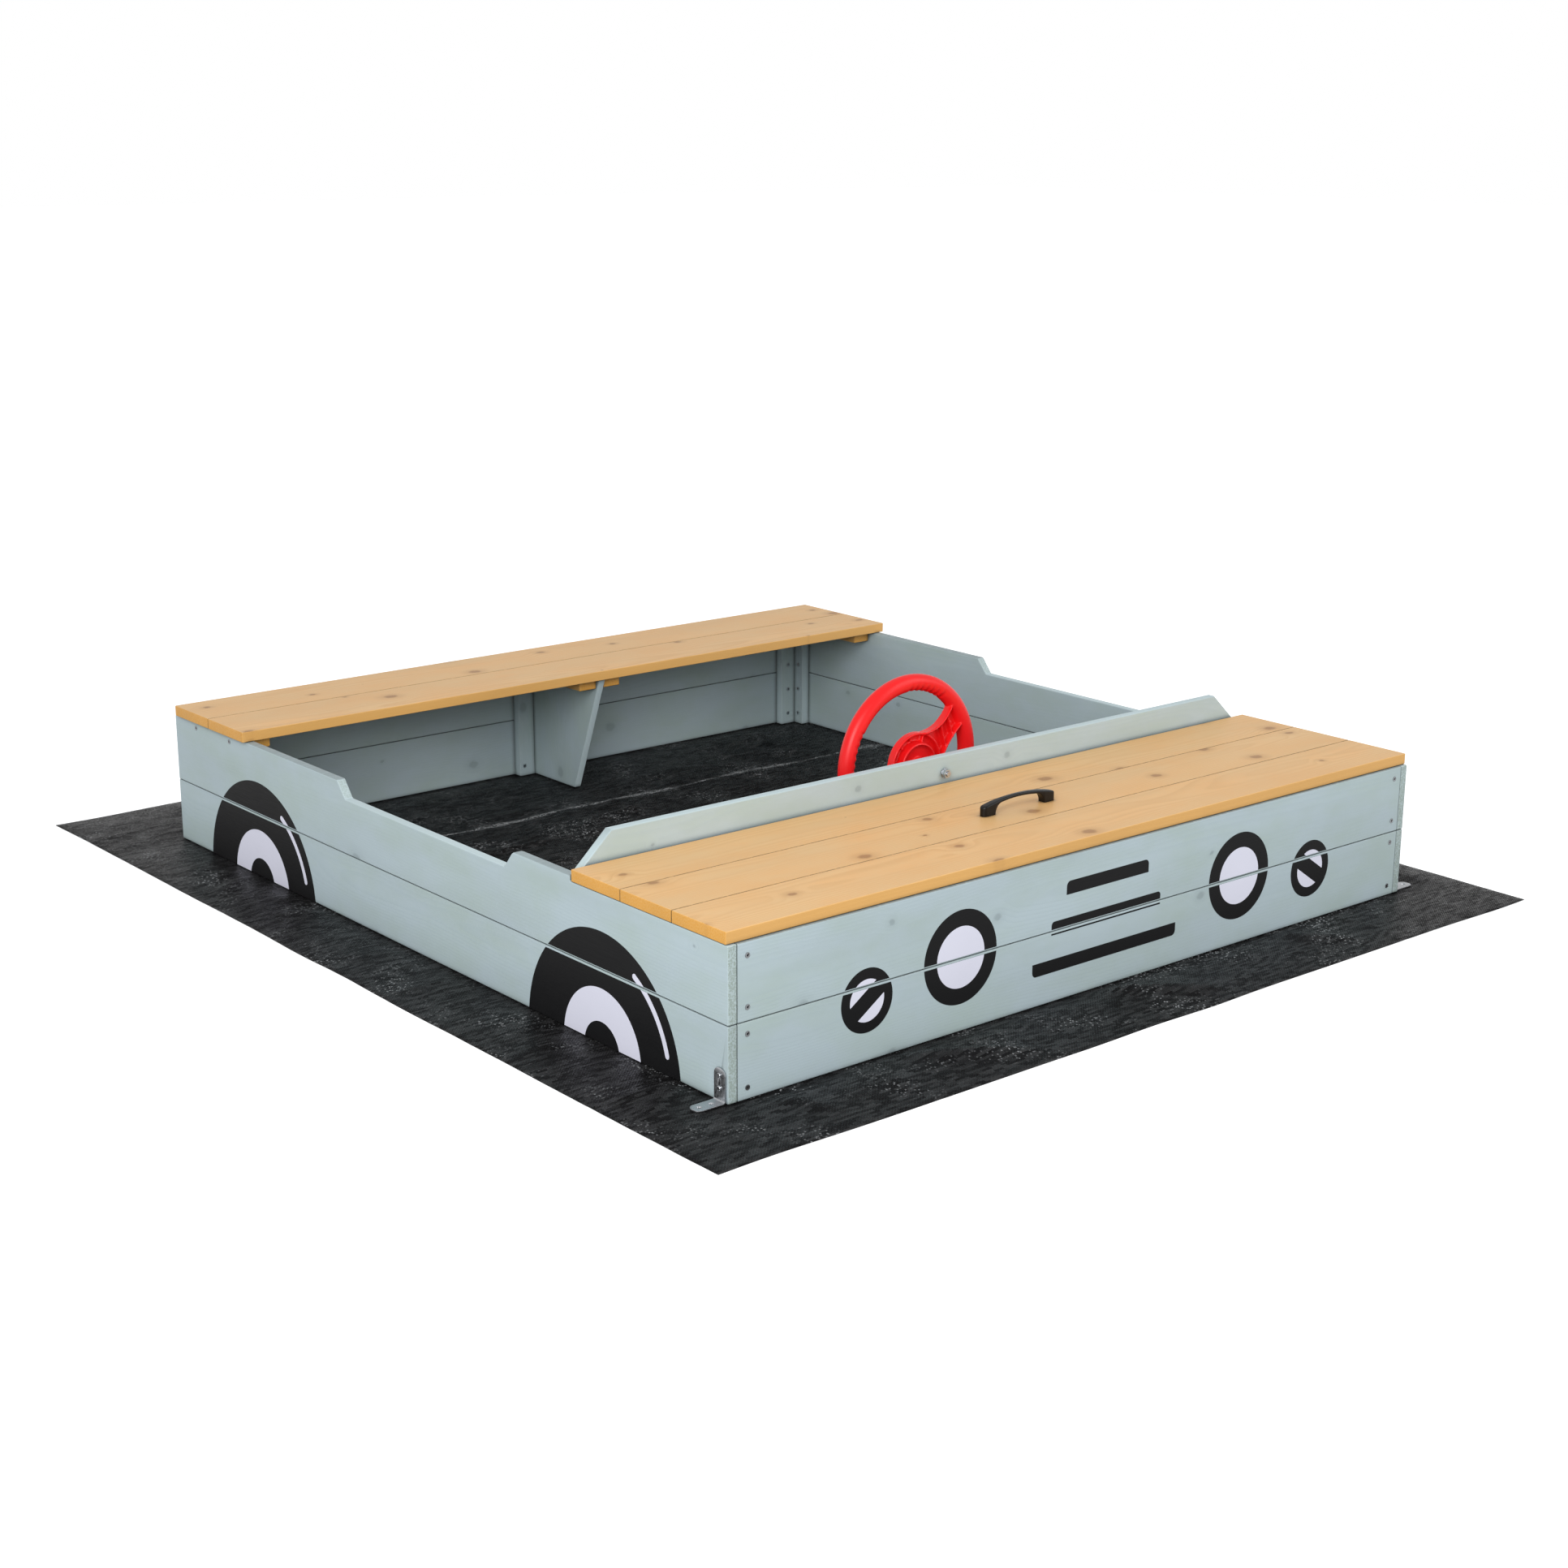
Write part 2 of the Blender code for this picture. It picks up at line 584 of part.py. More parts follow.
def make_wheel(finishes, axle):
    """One moulding: rim, cup-shaped hub, and spokes that are open towards the dashboard."""
    red = finishes["wheel"]
    hub_profile = [
        (BORE_R, RECESS_FLOOR),
        (RECESS_R, RECESS_FLOOR),
        (RECESS_R, HUB_FACE),
        (CAP_R + HUB_WALL, HUB_FACE),
        (HUB_R, HUB_SHOULDER),
        (HUB_R, HUB_BACK),
        (HUB_R - HUB_WALL, HUB_BACK),
        (HUB_R - HUB_WALL, RECESS_FLOOR),
        (CUP_R, RECESS_FLOOR),
        (CUP_R, CUP_BACK),
        (CUP_R - HUB_WALL, CUP_BACK),
        (CUP_R - HUB_WALL, CUP_FLOOR),
        (BOSS_R, CUP_FLOOR),
        (BOSS_R, BOSS_BACK),
        (BORE_R, BOSS_BACK),
    ]
    wheel = turned("steering_wheel", hub_profile, TURNED_SEGMENTS, red)
    centre = WHEEL_R - WHEEL_RIM_R
    angles = [2 * math.pi * i / RIM_TUBE_SEGMENTS for i in range(RIM_TUBE_SEGMENTS)]
    tube = [(centre + WHEEL_RIM_R * math.cos(a), WHEEL_RIM_R * math.sin(a)) for a in angles]
    combine_at(wheel, turned("wheel_rim_form", tube, RIM_SEGMENTS, None), axle)
    for angle in SPOKE_ANGLES:
        combine_at(wheel, make_spoke(angle), axle)
    wheel.parent = axle
    profile = [(0.0, 0.0), (CAP_R, 0.0), (CAP_R, CAP_H / 2), (CAP_TOP_R, CAP_H), (0.0, CAP_H)]
    cap = turned("wheel_cap", profile, TURNED_SEGMENTS, red, (0.0, HUB_FACE + GAP, 0.0))
    cap.parent = axle


def combine_at(wheel, form, axle):
    """Joins a form that is made about the wheel's own centre."""
    form.parent = axle
    combine(wheel, form, "UNION")


def make_spoke(angle):
    """A tapered trough that slopes from the hub's wall up to the rim, with one cross rib."""
    start = HUB_R - HUB_WALL / 2
    end = WHEEL_R - RIM_BITE * WHEEL_RIM_R
    spoke = prism("wheel_spoke_form", spoke_outline(start, end, 0.0), 1, SPOKE_BACK, SPOKE_FACE, None)
    middle = (start + end) / 2
    clear = WHEEL_R - 2 * WHEEL_RIM_R - SPOKE_WALL
    pockets = ((HUB_R + SPOKE_WALL / 2, middle - SPOKE_WALL / 2), (middle + SPOKE_WALL / 2, clear))
    for low, high in pockets:
        outline = spoke_outline(low, high, SPOKE_WALL)
        floor = SPOKE_FACE - SPOKE_WALL
        combine(spoke, prism("wheel_pocket_form", outline, 1, 2 * SPOKE_BACK, floor, None), "DIFFERENCE")
    spoke.rotation_euler = (0.0, -math.radians(angle), 0.0)
    for form in [spoke] + [modifier.object for modifier in spoke.modifiers]:
        for vertex in form.data.vertices:
            vertex.co.y -= HUB_DISH * (end - vertex.co.x) / (end - start)
    for modifier in spoke.modifiers:
        modifier.object.parent = spoke
    return spoke


def spoke_outline(low, high, wall):
    """A stretch of the spoke's tapered plan between two radii, less the wall on each side."""
    start = HUB_R - HUB_WALL / 2
    end = WHEEL_R - RIM_BITE * WHEEL_RIM_R
    halves = []
    for radius in (low, high):
        share = (radius - start) / (end - start)
        halves.append((SPOKE_HUB_W + share * (SPOKE_RIM_W - SPOKE_HUB_W)) / 2 - wall)
    return [(low, -halves[0]), (high, -halves[1]), (high, halves[1]), (low, halves[0])]


def make_wheel_bolt(finishes):
    """The bolt from the wheel's recess to the front of the dashboard, with what is threaded on it."""
    zinc = finishes["zinc"]
    head_y = WHEEL_Y + RECESS_FLOOR + GAP + WASHER_T + GAP
    tip_y = DASH_Y - GAP - WASHER_T - GAP - NUT_H - BOLT_PAST_NUT
    hexagon = hexagon_outline()
    bolt = prism("wheel_bolt", hexagon, 1, 0.0, BOLT_HEAD_H, zinc, (0.0, head_y, WHEEL_Z))
    root = BOLT_HEAD_H / 2
    tip = tip_y - head_y
    shank = [(0.0, root), (BOLT_R, root), (BOLT_R, tip), (0.0, tip)]
    form = turned("bolt_shank_form", shank, 16, None, (0.0, head_y, WHEEL_Z))
    combine(bolt, form, "UNION")
    collar("wheel_washer", WASHER_R, WHEEL_Y + RECESS_FLOOR + GAP, WASHER_T, zinc)
    collar("dash_washer", WASHER_R, DASH_Y - GAP - WASHER_T, WASHER_T, zinc)
    bush_end = WHEEL_Y + BOSS_BACK - GAP
    collar("wheel_bush", BUSH_R, DASH_BACK_Y + GAP, bush_end - DASH_BACK_Y - GAP, finishes["bush"])
    nut_y = DASH_Y - GAP - WASHER_T - GAP - NUT_H
    nut = prism("dash_nut", hexagon, 1, 0.0, NUT_H, zinc, (0.0, nut_y, WHEEL_Z))
    drill(nut, "Y", (0.0, 0.0, WHEEL_Z), BORE_R, nut_y - NUT_H, nut_y + 2 * NUT_H)


def hexagon_outline():
    """The plan of a bolt head or nut."""
    radius = BOLT_ACROSS_FLATS / math.sqrt(3)
    angles = [math.radians(60 * i) for i in range(6)]
    return [(radius * math.cos(a), radius * math.sin(a)) for a in angles]


def collar(name, radius, y, length, material):
    """A washer or a bush on the wheel bolt."""
    profile = [(BORE_R, 0.0), (radius, 0.0), (radius, length), (BORE_R, length)]
    return turned(name, profile, 24, material, (0.0, y, WHEEL_Z))


def guide(name, location, turn=0.0):
    """An empty that marks where a moving group sits."""
    empty = bpy.data.objects.new(name, None)
    empty.location = location
    empty.rotation_euler = (0.0, turn, 0.0)
    bpy.context.scene.collection.objects.link(empty)
    return empty


def main():
    for old in list(bpy.data.objects):
        bpy.data.objects.remove(old, do_unlink=True)
    finishes = make_finishes()
    make_sheet(finishes)
    make_side_walls(finishes)
    make_cross_walls(finishes)
    make_corner_battens(finishes)
    make_bench(finishes)
    make_lid(finishes, guide("lid_lift", (0.0, HANDLE_Y, LID_BOTTOM)))
    make_brackets(finishes)
    make_wheel(finishes, guide("wheel_axle", (0.0, WHEEL_Y, WHEEL_Z), -WHEEL_TURN))
    make_wheel_bolt(finishes)


main()
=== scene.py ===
"""The finishes of a car-shaped sandpit: grained boards, ground sheet, prints, screws, wheel and handle."""

import json
import math
import random

import bmesh
import bpy
import numpy as np
from bpy.props import FloatProperty, FloatVectorProperty, IntProperty, PointerProperty
from mathutils import Matrix, Quaternion, Vector, noise

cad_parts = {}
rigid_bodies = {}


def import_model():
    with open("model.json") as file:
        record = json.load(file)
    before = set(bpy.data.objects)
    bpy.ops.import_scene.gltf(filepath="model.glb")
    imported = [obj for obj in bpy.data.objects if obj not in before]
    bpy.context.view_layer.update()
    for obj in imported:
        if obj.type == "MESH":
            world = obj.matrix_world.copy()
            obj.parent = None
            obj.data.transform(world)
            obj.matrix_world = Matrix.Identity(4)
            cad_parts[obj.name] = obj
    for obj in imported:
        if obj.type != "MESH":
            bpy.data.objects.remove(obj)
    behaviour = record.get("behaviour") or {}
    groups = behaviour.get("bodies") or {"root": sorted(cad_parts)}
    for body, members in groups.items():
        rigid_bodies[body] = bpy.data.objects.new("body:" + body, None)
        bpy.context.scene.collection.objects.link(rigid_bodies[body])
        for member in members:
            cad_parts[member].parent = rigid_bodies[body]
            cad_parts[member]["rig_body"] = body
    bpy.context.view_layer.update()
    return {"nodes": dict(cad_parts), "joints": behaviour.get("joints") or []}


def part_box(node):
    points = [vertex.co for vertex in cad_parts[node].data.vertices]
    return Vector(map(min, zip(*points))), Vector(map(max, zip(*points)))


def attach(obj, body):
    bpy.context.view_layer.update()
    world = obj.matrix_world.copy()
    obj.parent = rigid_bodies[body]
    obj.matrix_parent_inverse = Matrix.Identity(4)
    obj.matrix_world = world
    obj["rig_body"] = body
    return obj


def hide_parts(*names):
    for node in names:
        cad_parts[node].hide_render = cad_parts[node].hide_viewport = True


bl_info = {
    "name": "Car Sandpit",
    "version": (1, 0, 0),
    "blender": (4, 5, 0),
    "location": "View3D > Sidebar > Sandpit",
    "description": "Builds the visible surfaces of a wooden sandpit around its frame",
    "category": "Object",
}

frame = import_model()

MERGE = 0.00001
BOARD_GAP = 0.001
FAR = 9.0
FULL_TURN = 2 * math.pi
FACET_ANGLE = math.radians(35)

# Places taken from the frame
FRONT_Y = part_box("front_board_lower")[0].y
REAR_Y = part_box("rear_board_lower")[1].y
SIDE_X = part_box("right_board_lower")[1].x
SEAM_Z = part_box("front_board_lower")[1].z
WALL_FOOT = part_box("front_board_lower")[0].z
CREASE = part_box("bench_gusset")[0].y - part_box("ground_sheet")[0].y - 0.022
BOARD_BOXES = {name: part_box(name) for name in frame["nodes"] if "_board_" in name}
WHEEL_PLACE = Vector(next(j["pos_m"] for j in frame["joints"] if j["name"] == "wheel_turn"))
WHEEL_R = (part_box("steering_wheel")[1].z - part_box("steering_wheel")[0].z) / 2


def linear(colour):
    """Linear RGBA from an sRGB hex colour."""
    channels = [int(colour[i : i + 2], 16) / 255 for i in (1, 3, 5)]
    return [c / 12.92 if c <= 0.04045 else ((c + 0.055) / 1.055) ** 2.4 for c in channels] + [1.0]


def colour(name, description, value):
    """A colour setting with an sRGB hex default."""
    return FloatVectorProperty(
        name=name, description=description, subtype="COLOR", size=4, min=0.0, max=1.0, default=linear(value)
    )


def length(name, description, value):
    """A size setting in metres."""
    return FloatProperty(name=name, description=description, unit="LENGTH", precision=5, default=value)


class SandpitTimber(bpy.types.PropertyGroup):
    """Colours and grain of the stained and the oiled boards."""

    stain_light: colour("Wall stain", "Pale blue-grey stain on the wall boards", "#B4C4CA")
    stain_cast: colour("Wall cast", "Greener patches, where the stain went on thinner", "#AEBFBC")
    stain_late: colour("Wall latewood", "The same stain over the darker growth rings", "#A3B5BC")
    stain_knot: colour("Wall knot", "The same stain over a knot", "#879599")
    stain_edge: colour("Wall edge", "Stain on the planed edges", "#BACBCF")
    stain_end: colour("Wall end grain", "Stain that has sunk into the end grain", "#96A59F")
    honey_light: colour("Honey timber", "Oiled lid and bench boards", "#E3BC85")
    honey_cast: colour("Honey cast", "Redder patches of the oiled boards", "#E6B577")
    honey_late: colour("Honey latewood", "The darker growth rings", "#D3A468")
    honey_knot: colour("Honey knot", "Knots in the oiled boards", "#9A6B3A")
    honey_edge: colour("Honey edge", "Planed edges, which take more oil", "#DCA961")
    honey_end: colour("Honey end grain", "End grain, which takes the most oil", "#D79B3E")
    ring_pitch: length("Ring pitch", "Spacing of the growth rings", 0.0042)
    knot_pitch: length("Knot pitch", "Usual distance between knots", 0.130)
    knot_size: length("Knot size", "Radius of the largest knots", 0.0135)
    seam_w: length("Seam", "Width of the darker line along each joint", 0.0016)


class SandpitSheet(bpy.types.PropertyGroup):
    """The woven ground sheet."""

    tape: colour("Tape", "Black woven polypropylene tape", "#131213")
    # Painted sheen and painted glints: the paler tape colour and the glint colour stand in for tapes that
    # catch the light.
    tape_sheen_colour: colour("Tape highlight", "Tapes that were stretched thinner and paler", "#3A3A3B")
    tape_glint: colour("Tape glint", "Single tapes that catch the light", "#9FA1A3")
    cell: length("Mesh cell", "Size of one square of the sheet's mesh", 0.010)
    thickness: length("Thickness", "Thickness of the woven sheet", 0.0004)
    tape_pitch: length("Tape pitch", "Width of one woven tape", 0.0026)
    fold_height: length("Fold height", "Height of the soft folds outside the walls", 0.0090)
    edge_wander: length("Edge wander", "How far the cut edge strays from straight", 0.0015)
    crease: length("Crease", "Distance of the bright packing crease from the front edge", CREASE)
    spare_left: length("Spare left", "How far the left edge lies outside the plain sheet's", 0.013)
    spare_front: length("Spare front", "How far the front edge lies outside the plain sheet's", 0.015)
    seed: IntProperty(name="Seed", description="Seed of the folds", default=7)


class SandpitPrint(bpy.types.PropertyGroup):
    """The car's printed lamps, grille and tyres."""

    dark: colour("Dark print", "Black film", "#0D0D0F")
    light: colour("Light print", "White film", "#DEDFEE")
    thickness: length("Film thickness", "Thickness of each film", 0.00015)
    seam_below: length("Margin below seam", "Bare strip on the lower board", 0.0035)
    seam_above: length("Margin above seam", "Bare strip on the upper board", 0.0030)
    lamp_r: length("Headlamp", "Outer radius of a headlamp", 0.0735)
    lamp_glass_r: length("Headlamp glass", "Radius of its white disc", 0.048)
    fog_r: length("Fog lamp", "Outer radius of a fog lamp", 0.049)
    fog_glass_r: length("Fog lamp glass", "Radius of its white segments", 0.0325)
    fog_bar: length("Fog lamp bar", "Half the width of the bar across it", 0.0135)
    tyre_r: length("Tyre", "Radius of the black tyre", 0.190)
    wall_r: length("White wall", "Outer radius of the white ring", 0.096)
    hub_r: length("Hub", "Radius of the black hub", 0.044)
    glint_r: length("Glint", "Radius that the white stroke follows", 0.165)
    glint_w: length("Glint width", "Width of the white stroke", 0.0095)


class SandpitFittings(bpy.types.PropertyGroup):
    """Wheel, handle and metalwork."""

    red: colour("Wheel", "Red polypropylene", "#EA171A")
    black: colour("Handle", "Black nylon", "#0B0A0A")
    bush: colour("Bush", "Grey acetal", "#3A3A3C")
    zinc: colour("Zinc", "Bright zinc plating", "#C3C6CA")
    screw_r: length("Screw head", "Radius of a countersunk screw head", 0.0041)
    screw_rise: length("Screw rise", "How far a screw head stands proud", 0.0005)
    recess_w: length("Recess width", "Width of each slot of the cross recess", 0.0009)
    rim_r: length("Rim", "Radius of the wheel's rim section", 0.0145)
    grip_depth: length("Grip depth", "Depth of the finger grips in the rim", 0.0030)


class SandpitStage(bpy.types.PropertyGroup):
    """Camera, floor and lights."""

    floor: colour("Floor", "Plain pale studio floor", "#F7F8F9")
    lens: FloatProperty(name="Lens", description="Focal length on a 36 mm sensor, in mm", default=55.6)
    key: FloatProperty(name="Key light", description="Power of the left light, in W", default=140.0)
    fill: FloatProperty(name="Fill light", description="Power of the right light, in W", default=42.0)
    sky: FloatProperty(name="Sky", description="Strength of the even light overhead", default=0.62)
    backdrop: FloatProperty(name="Backdrop", description="Strength of the white backdrop", default=1.0)
    bounce: FloatProperty(name="Bounce", description="Strength of the light from below", default=0.52)
    glow: FloatProperty(name="Floor glow", description="Light that whitens the floor", default=0.50)


class SandpitSettings(bpy.types.PropertyGroup):
    """Every setting of the sandpit."""

    timber: PointerProperty(type=SandpitTimber)
    sheet: PointerProperty(type=SandpitSheet)
    print: PointerProperty(type=SandpitPrint)
    fittings: PointerProperty(type=SandpitFittings)
    stage: PointerProperty(type=SandpitStage)


# Node trees


def add(tree, kind, inputs=(), out=0, **settings):
    """Adds a node with its settings, values and links, and returns one of its output sockets.

    A kind without "Node" in its name is a shader node's.
    """
    node = tree.nodes.new(kind if "Node" in kind else "ShaderNode" + kind)
    for key, value in settings.items():
        setattr(node, key, value)
    pairs = inputs.items() if isinstance(inputs, dict) else enumerate(inputs)
    for key, value in pairs:
        if isinstance(value, bpy.types.NodeSocket):
            tree.links.new(value, node.inputs[key])
        elif value is not None:
            node.inputs[key].default_value = value
    return node.outputs[out]


def new_finish(name, sockets):
    """A Principled material with its uniform sockets set; returns the material, its tree and its shader."""
    material = bpy.data.materials.new(name)
    material.use_nodes = True
    tree = material.node_tree
    shader = tree.nodes["Principled BSDF"]
    for key, value in sockets.items():
        shader.inputs[key].default_value = value
    return material, tree, shader


def feed(tree, shader, sockets):
    """Links the shader's sockets to the outputs that drive them."""
    for key, output in sockets.items():
        tree.links.new(output, shader.inputs[key])


def plain_tone(tree, shader, tone, clouds, swing, bloom, gloss, texture, strength):
    """One tone that clouds lighten and darken, a gloss between two values, and a fine relief."""
    shade = add(tree, "Math", [clouds, *swing], operation="MULTIPLY_ADD")
    base = add(tree, "VectorMath", {0: tone[:3], "Scale": shade}, operation="SCALE")
    rough = add(tree, "MapRange", [bloom, 0.3, 0.7, *gloss])
    bump = add(tree, "Bump", {"Strength": strength, "Distance": 0.0002, "Height": texture})
    feed(tree, shader, {"Base Color": base, "Roughness": rough, "Normal": bump})


def grained_timber(name, oil, look):
    """Planed softwood. The eye sees long growth rings that part round small knots, and darker end grain."""
    material, tree, shader = new_finish(name, {"Roughness": look["roughness"], "IOR": 1.5})
    timber = bpy.context.scene.sandpit.timber
    light, cast, late, edge, knot, end = (
        getattr(timber, oil + part) for part in ("_light", "_cast", "_late", "_edge", "_knot", "_end")
    )
    grain, seed, along, through, below, above = (
        add(tree, "Attribute", out="Vector", attribute_name=key)
        for key in ("grain", "board_seed", "along", "through", "seam_below", "seam_above")
    )
    normal = add(tree, "TexCoord", out="Normal")
    place = add(tree, "VectorMath", [seed, (37.0, 19.0, 23.0), grain], operation="MULTIPLY_ADD")

    # Rings that wander, fibres 0.6 mm across and 30 times as long, broad tones, gaps in the joints' dark
    # lines, and patches of the second colour
    noises = []
    for stretch, detail, rough in (
        ((1.1, 6.0, 6.0), 2.0, 0.5),
        ((50.0, 1500.0, 1500.0), 3.0, 0.5),
        ((2.5, 12.0, 12.0), 2.0, 0.5),
        ((160.0, 20.0, 20.0), 2.0, 0.5),
        ((7.0, 13.0, 13.0), 4.0, 0.6),
    ):
        spread = add(tree, "VectorMath", [place, stretch], operation="MULTIPLY")
        inputs = {"Vector": spread, "Scale": 1.0, "Detail": detail, "Roughness": rough}
        noises.append(add(tree, "TexNoise", inputs, out="Fac"))
    wander, fibre, tone, dashes, patches = noises

    # Knots go straight through the board, so they are points in its face
    spread = add(tree, "VectorMath", [place, (0.75, 1.0, 1.0)], operation="MULTIPLY")
    wobble = add(tree, "TexNoise", {"Vector": spread, "Scale": 90.0, "Detail": 2.0}, out="Color")
    wobble = add(tree, "VectorMath", [wobble, (0.5, 0.5, 0.5)], operation="SUBTRACT")
    spread = add(tree, "VectorMath", [wobble, (0.006, 0.006, 0.0), spread], operation="MULTIPLY_ADD")
    pitch, rare = timber.knot_pitch, look["knots"]
    inputs = {"Vector": spread, "Scale": 1 / pitch}
    away = add(tree, "TexVoronoi", inputs, "Distance", voronoi_dimensions="2D")
    pick = add(tree, "SeparateXYZ", [away.node.outputs["Color"]]).node.outputs
    away = add(tree, "Math", [away, pitch], operation="MULTIPLY")
    size = add(tree, "MapRange", [pick[0], rare, rare + 0.25, 0.0, timber.knot_size])
    share = add(tree, "Math", [pick[1], 0.55, 0.45], operation="MULTIPLY_ADD")
    size = add(tree, "Math", [size, share], operation="MULTIPLY")
    half, twice, wide = (
        add(tree, "Math", [size, times], operation="MULTIPLY") for times in (0.45, 2.4, 4.5)
    )
    core, halo, bulge = (
        add(tree, "MapRange", [away, far, near, 0.0, 1.0], interpolation_type="SMOOTHSTEP")
        for far, near in ((size, half), (twice, half), (wide, 0.0))
    )

    # Growth rings about a pith that lies just behind the board
    pith = add(tree, "VectorMath", [seed, (0.0, -0.090, 0.040), grain], operation="MULTIPLY_ADD")
    pith = add(tree, "VectorMath", [pith, (0.0, 0.045, 0.030)], operation="ADD")
    pith = add(tree, "VectorMath", [pith, (0.0, 1.0, 1.0)], operation="MULTIPLY")
    ring = add(tree, "VectorMath", [pith], out="Value", operation="LENGTH")
    ring = add(tree, "Math", [wander, 0.060, ring], operation="MULTIPLY_ADD")
    ring = add(tree, "Math", [bulge, 0.006, ring], operation="MULTIPLY_ADD")
    ring = add(tree, "Math", [ring, timber.ring_pitch], operation="DIVIDE")
    ring = add(tree, "Math", [ring], operation="FRACT")
    rise = add(tree, "MapRange", [ring, 0.25, 0.85, 0.0, 1.0], interpolation_type="SMOOTHSTEP")
    fall = add(tree, "MapRange", [ring, 0.85, 1.0, 1.0, 0.0], interpolation_type="SMOOTHSTEP")
    ring = add(tree, "Math", [rise, fall], operation="MULTIPLY")
    faint = add(tree, "MapRange", [tone, 0.35, 0.65, look["ring_low"], look["ring_high"]])
    rings = add(tree, "Math", [ring, faint], operation="MULTIPLY")
    rings = add(tree, "Math", [fibre, look["fibre"], rings], operation="MULTIPLY_ADD")

    # Faces that don't look out through the board's thickness are its edges and ends
    facing, ending = (
        add(tree, "VectorMath", [normal, way], out="Value", operation="DOT_PRODUCT")
        for way in (through, along)
    )
    facing, ending = (add(tree, "Math", [turn], operation="ABSOLUTE") for turn in (facing, ending))
    sides = add(tree, "MapRange", [facing, 0.9, 0.3, 0.0, 1.0])
    ends = add(tree, "MapRange", [ending, 0.5, 0.9, 0.0, 1.0])

    # Ambient occlusion darkens the colour in corners and joints that other surfaces close in: painted
    # shade. A darker line, broken into dashes, follows each edge where two boards meet.
    joint = add(tree, "AmbientOcclusion", {"Distance": look["joint"]}, out="AO", samples=6)
    joint = add(tree, "MapRange", [joint, 0.40, 0.92, look["painted_occlusion_darkest"], 1.0])
    below = add(tree, "VectorMath", [below, grain], operation="ADD")
    above = add(tree, "VectorMath", [above, grain], operation="SUBTRACT")
    seam = add(tree, "VectorMath", [below, above], operation="MINIMUM")
    seam = add(tree, "SeparateXYZ", [seam]).node.outputs
    seam = add(tree, "Math", [seam[0], seam[1]], operation="MINIMUM")
    seam = add(tree, "MapRange", [seam, timber.seam_w, timber.seam_w / 3, 0.0, 1.0])
    dashes = add(tree, "MapRange", [dashes, 0.30, 0.55, look["seam_gaps"], look["seam"]])
    seam = add(tree, "Math", [seam, dashes], operation="MULTIPLY")
    seam = add(tree, "Math", [1.0, seam], operation="SUBTRACT")
    shade = add(tree, "MapRange", [tone, 0.3, 0.7, 1 - look["tone"], 1 + look["tone"]])
    for part in (joint, seam):
        shade = add(tree, "Math", [shade, part], operation="MULTIPLY")

    # Colours laid over one another, the knots last and only faintly on the edges
    mix = {"data_type": "RGBA", "out": 2}
    patches = add(tree, "MapRange", [patches, 0.38, 0.66, 0.0, 1.0])
    pores = add(tree, "TexNoise", {"Vector": grain, "Scale": 420.0, "Detail": 3.0}, out="Fac")
    pores = add(tree, "MapRange", [pores, 0.40, 0.60, 0.0, 0.7])
    end = add(tree, "Mix", {0: pores, 6: end, 7: edge}, **mix)
    soak = add(tree, "Math", [halo, look["halo"]], operation="MULTIPLY")
    soak = add(tree, "Math", [core, look["knot"], soak], operation="MULTIPLY_ADD")
    faces = add(tree, "Math", [sides, -0.85, 1.0], operation="MULTIPLY_ADD")
    soak = add(tree, "Math", [soak, faces], operation="MULTIPLY")
    base = light
    for share, over in ((patches, cast), (rings, late), (sides, edge), (ends, end), (soak, knot)):
        base = add(tree, "Mix", {0: share, 6: base, 7: over}, **mix)
    base = add(tree, "VectorMath", {0: base, "Scale": shade}, operation="SCALE")
    relief = add(tree, "Math", [ring, 0.6, fibre], operation="MULTIPLY_ADD")
    relief = add(tree, "Math", [core, 0.8, relief], operation="MULTIPLY_ADD")
    bump = add(tree, "Bump", {"Strength": look["relief"], "Distance": 0.0003, "Height": relief})
    feed(tree, shader, {"Base Color": base, "Normal": bump})
    return material


def stained_spruce():
    """Spruce under a thin blue-grey stain: flat, pale, with the grain only just showing."""
    look = {"roughness": 0.55, "knots": 0.55, "ring_low": 0.0, "ring_high": 0.20, "fibre": 0.40}
    # The ambient occlusion reach and its darkest value set the painted shade in corners and joints.
    look |= {"tone": 0.05, "knot": 0.45, "halo": 0.15, "relief": 0.22, "joint": 0.010, "painted_occlusion_darkest": 0.42}
    look |= {"seam": 0.42, "seam_gaps": 0.30}
    return grained_timber("stained_spruce", "stain", look)


def oiled_spruce():
    """Spruce under honey-coloured oil: warm and silky, with clear rings and brown knots."""
    look = {"roughness": 0.42, "knots": 0.35, "ring_low": 0.05, "ring_high": 0.50, "fibre": 0.50}
    # The ambient occlusion reach and its darkest value set the painted shade in corners and joints.
    look |= {"tone": 0.05, "knot": 0.55, "halo": 0.28, "relief": 0.28, "joint": 0.008, "painted_occlusion_darkest": 0.30}
    look |= {"seam": 0.60, "seam_gaps": 0.25}
    return grained_timber("oiled_spruce", "honey", look)


# Meshes and pieces


def mesh_of(name, shape):
    """A mesh from a shape, which is then let go."""
    mesh = bpy.data.meshes.new(name)
    shape.to_mesh(mesh)
    shape.free()
    return mesh


def new_piece(name, mesh):
    """A mesh's object, linked into the scene."""
    piece = bpy.data.objects.new(name, mesh)
    bpy.context.scene.collection.objects.link(piece)
    return piece


def solid(name, shape):
    """An object from a shape, with its faces outwards."""
    bmesh.ops.recalc_face_normals(shape, faces=shape.faces)
    return new_piece(name, mesh_of(name, shape))


def settled(piece):
    """The mesh of a piece with its modifiers applied; the piece itself is taken away."""
    graph = bpy.context.evaluated_depsgraph_get()
    made = bpy.data.meshes.new_from_object(piece.evaluated_get(graph))
    bpy.data.objects.remove(piece)
    return made


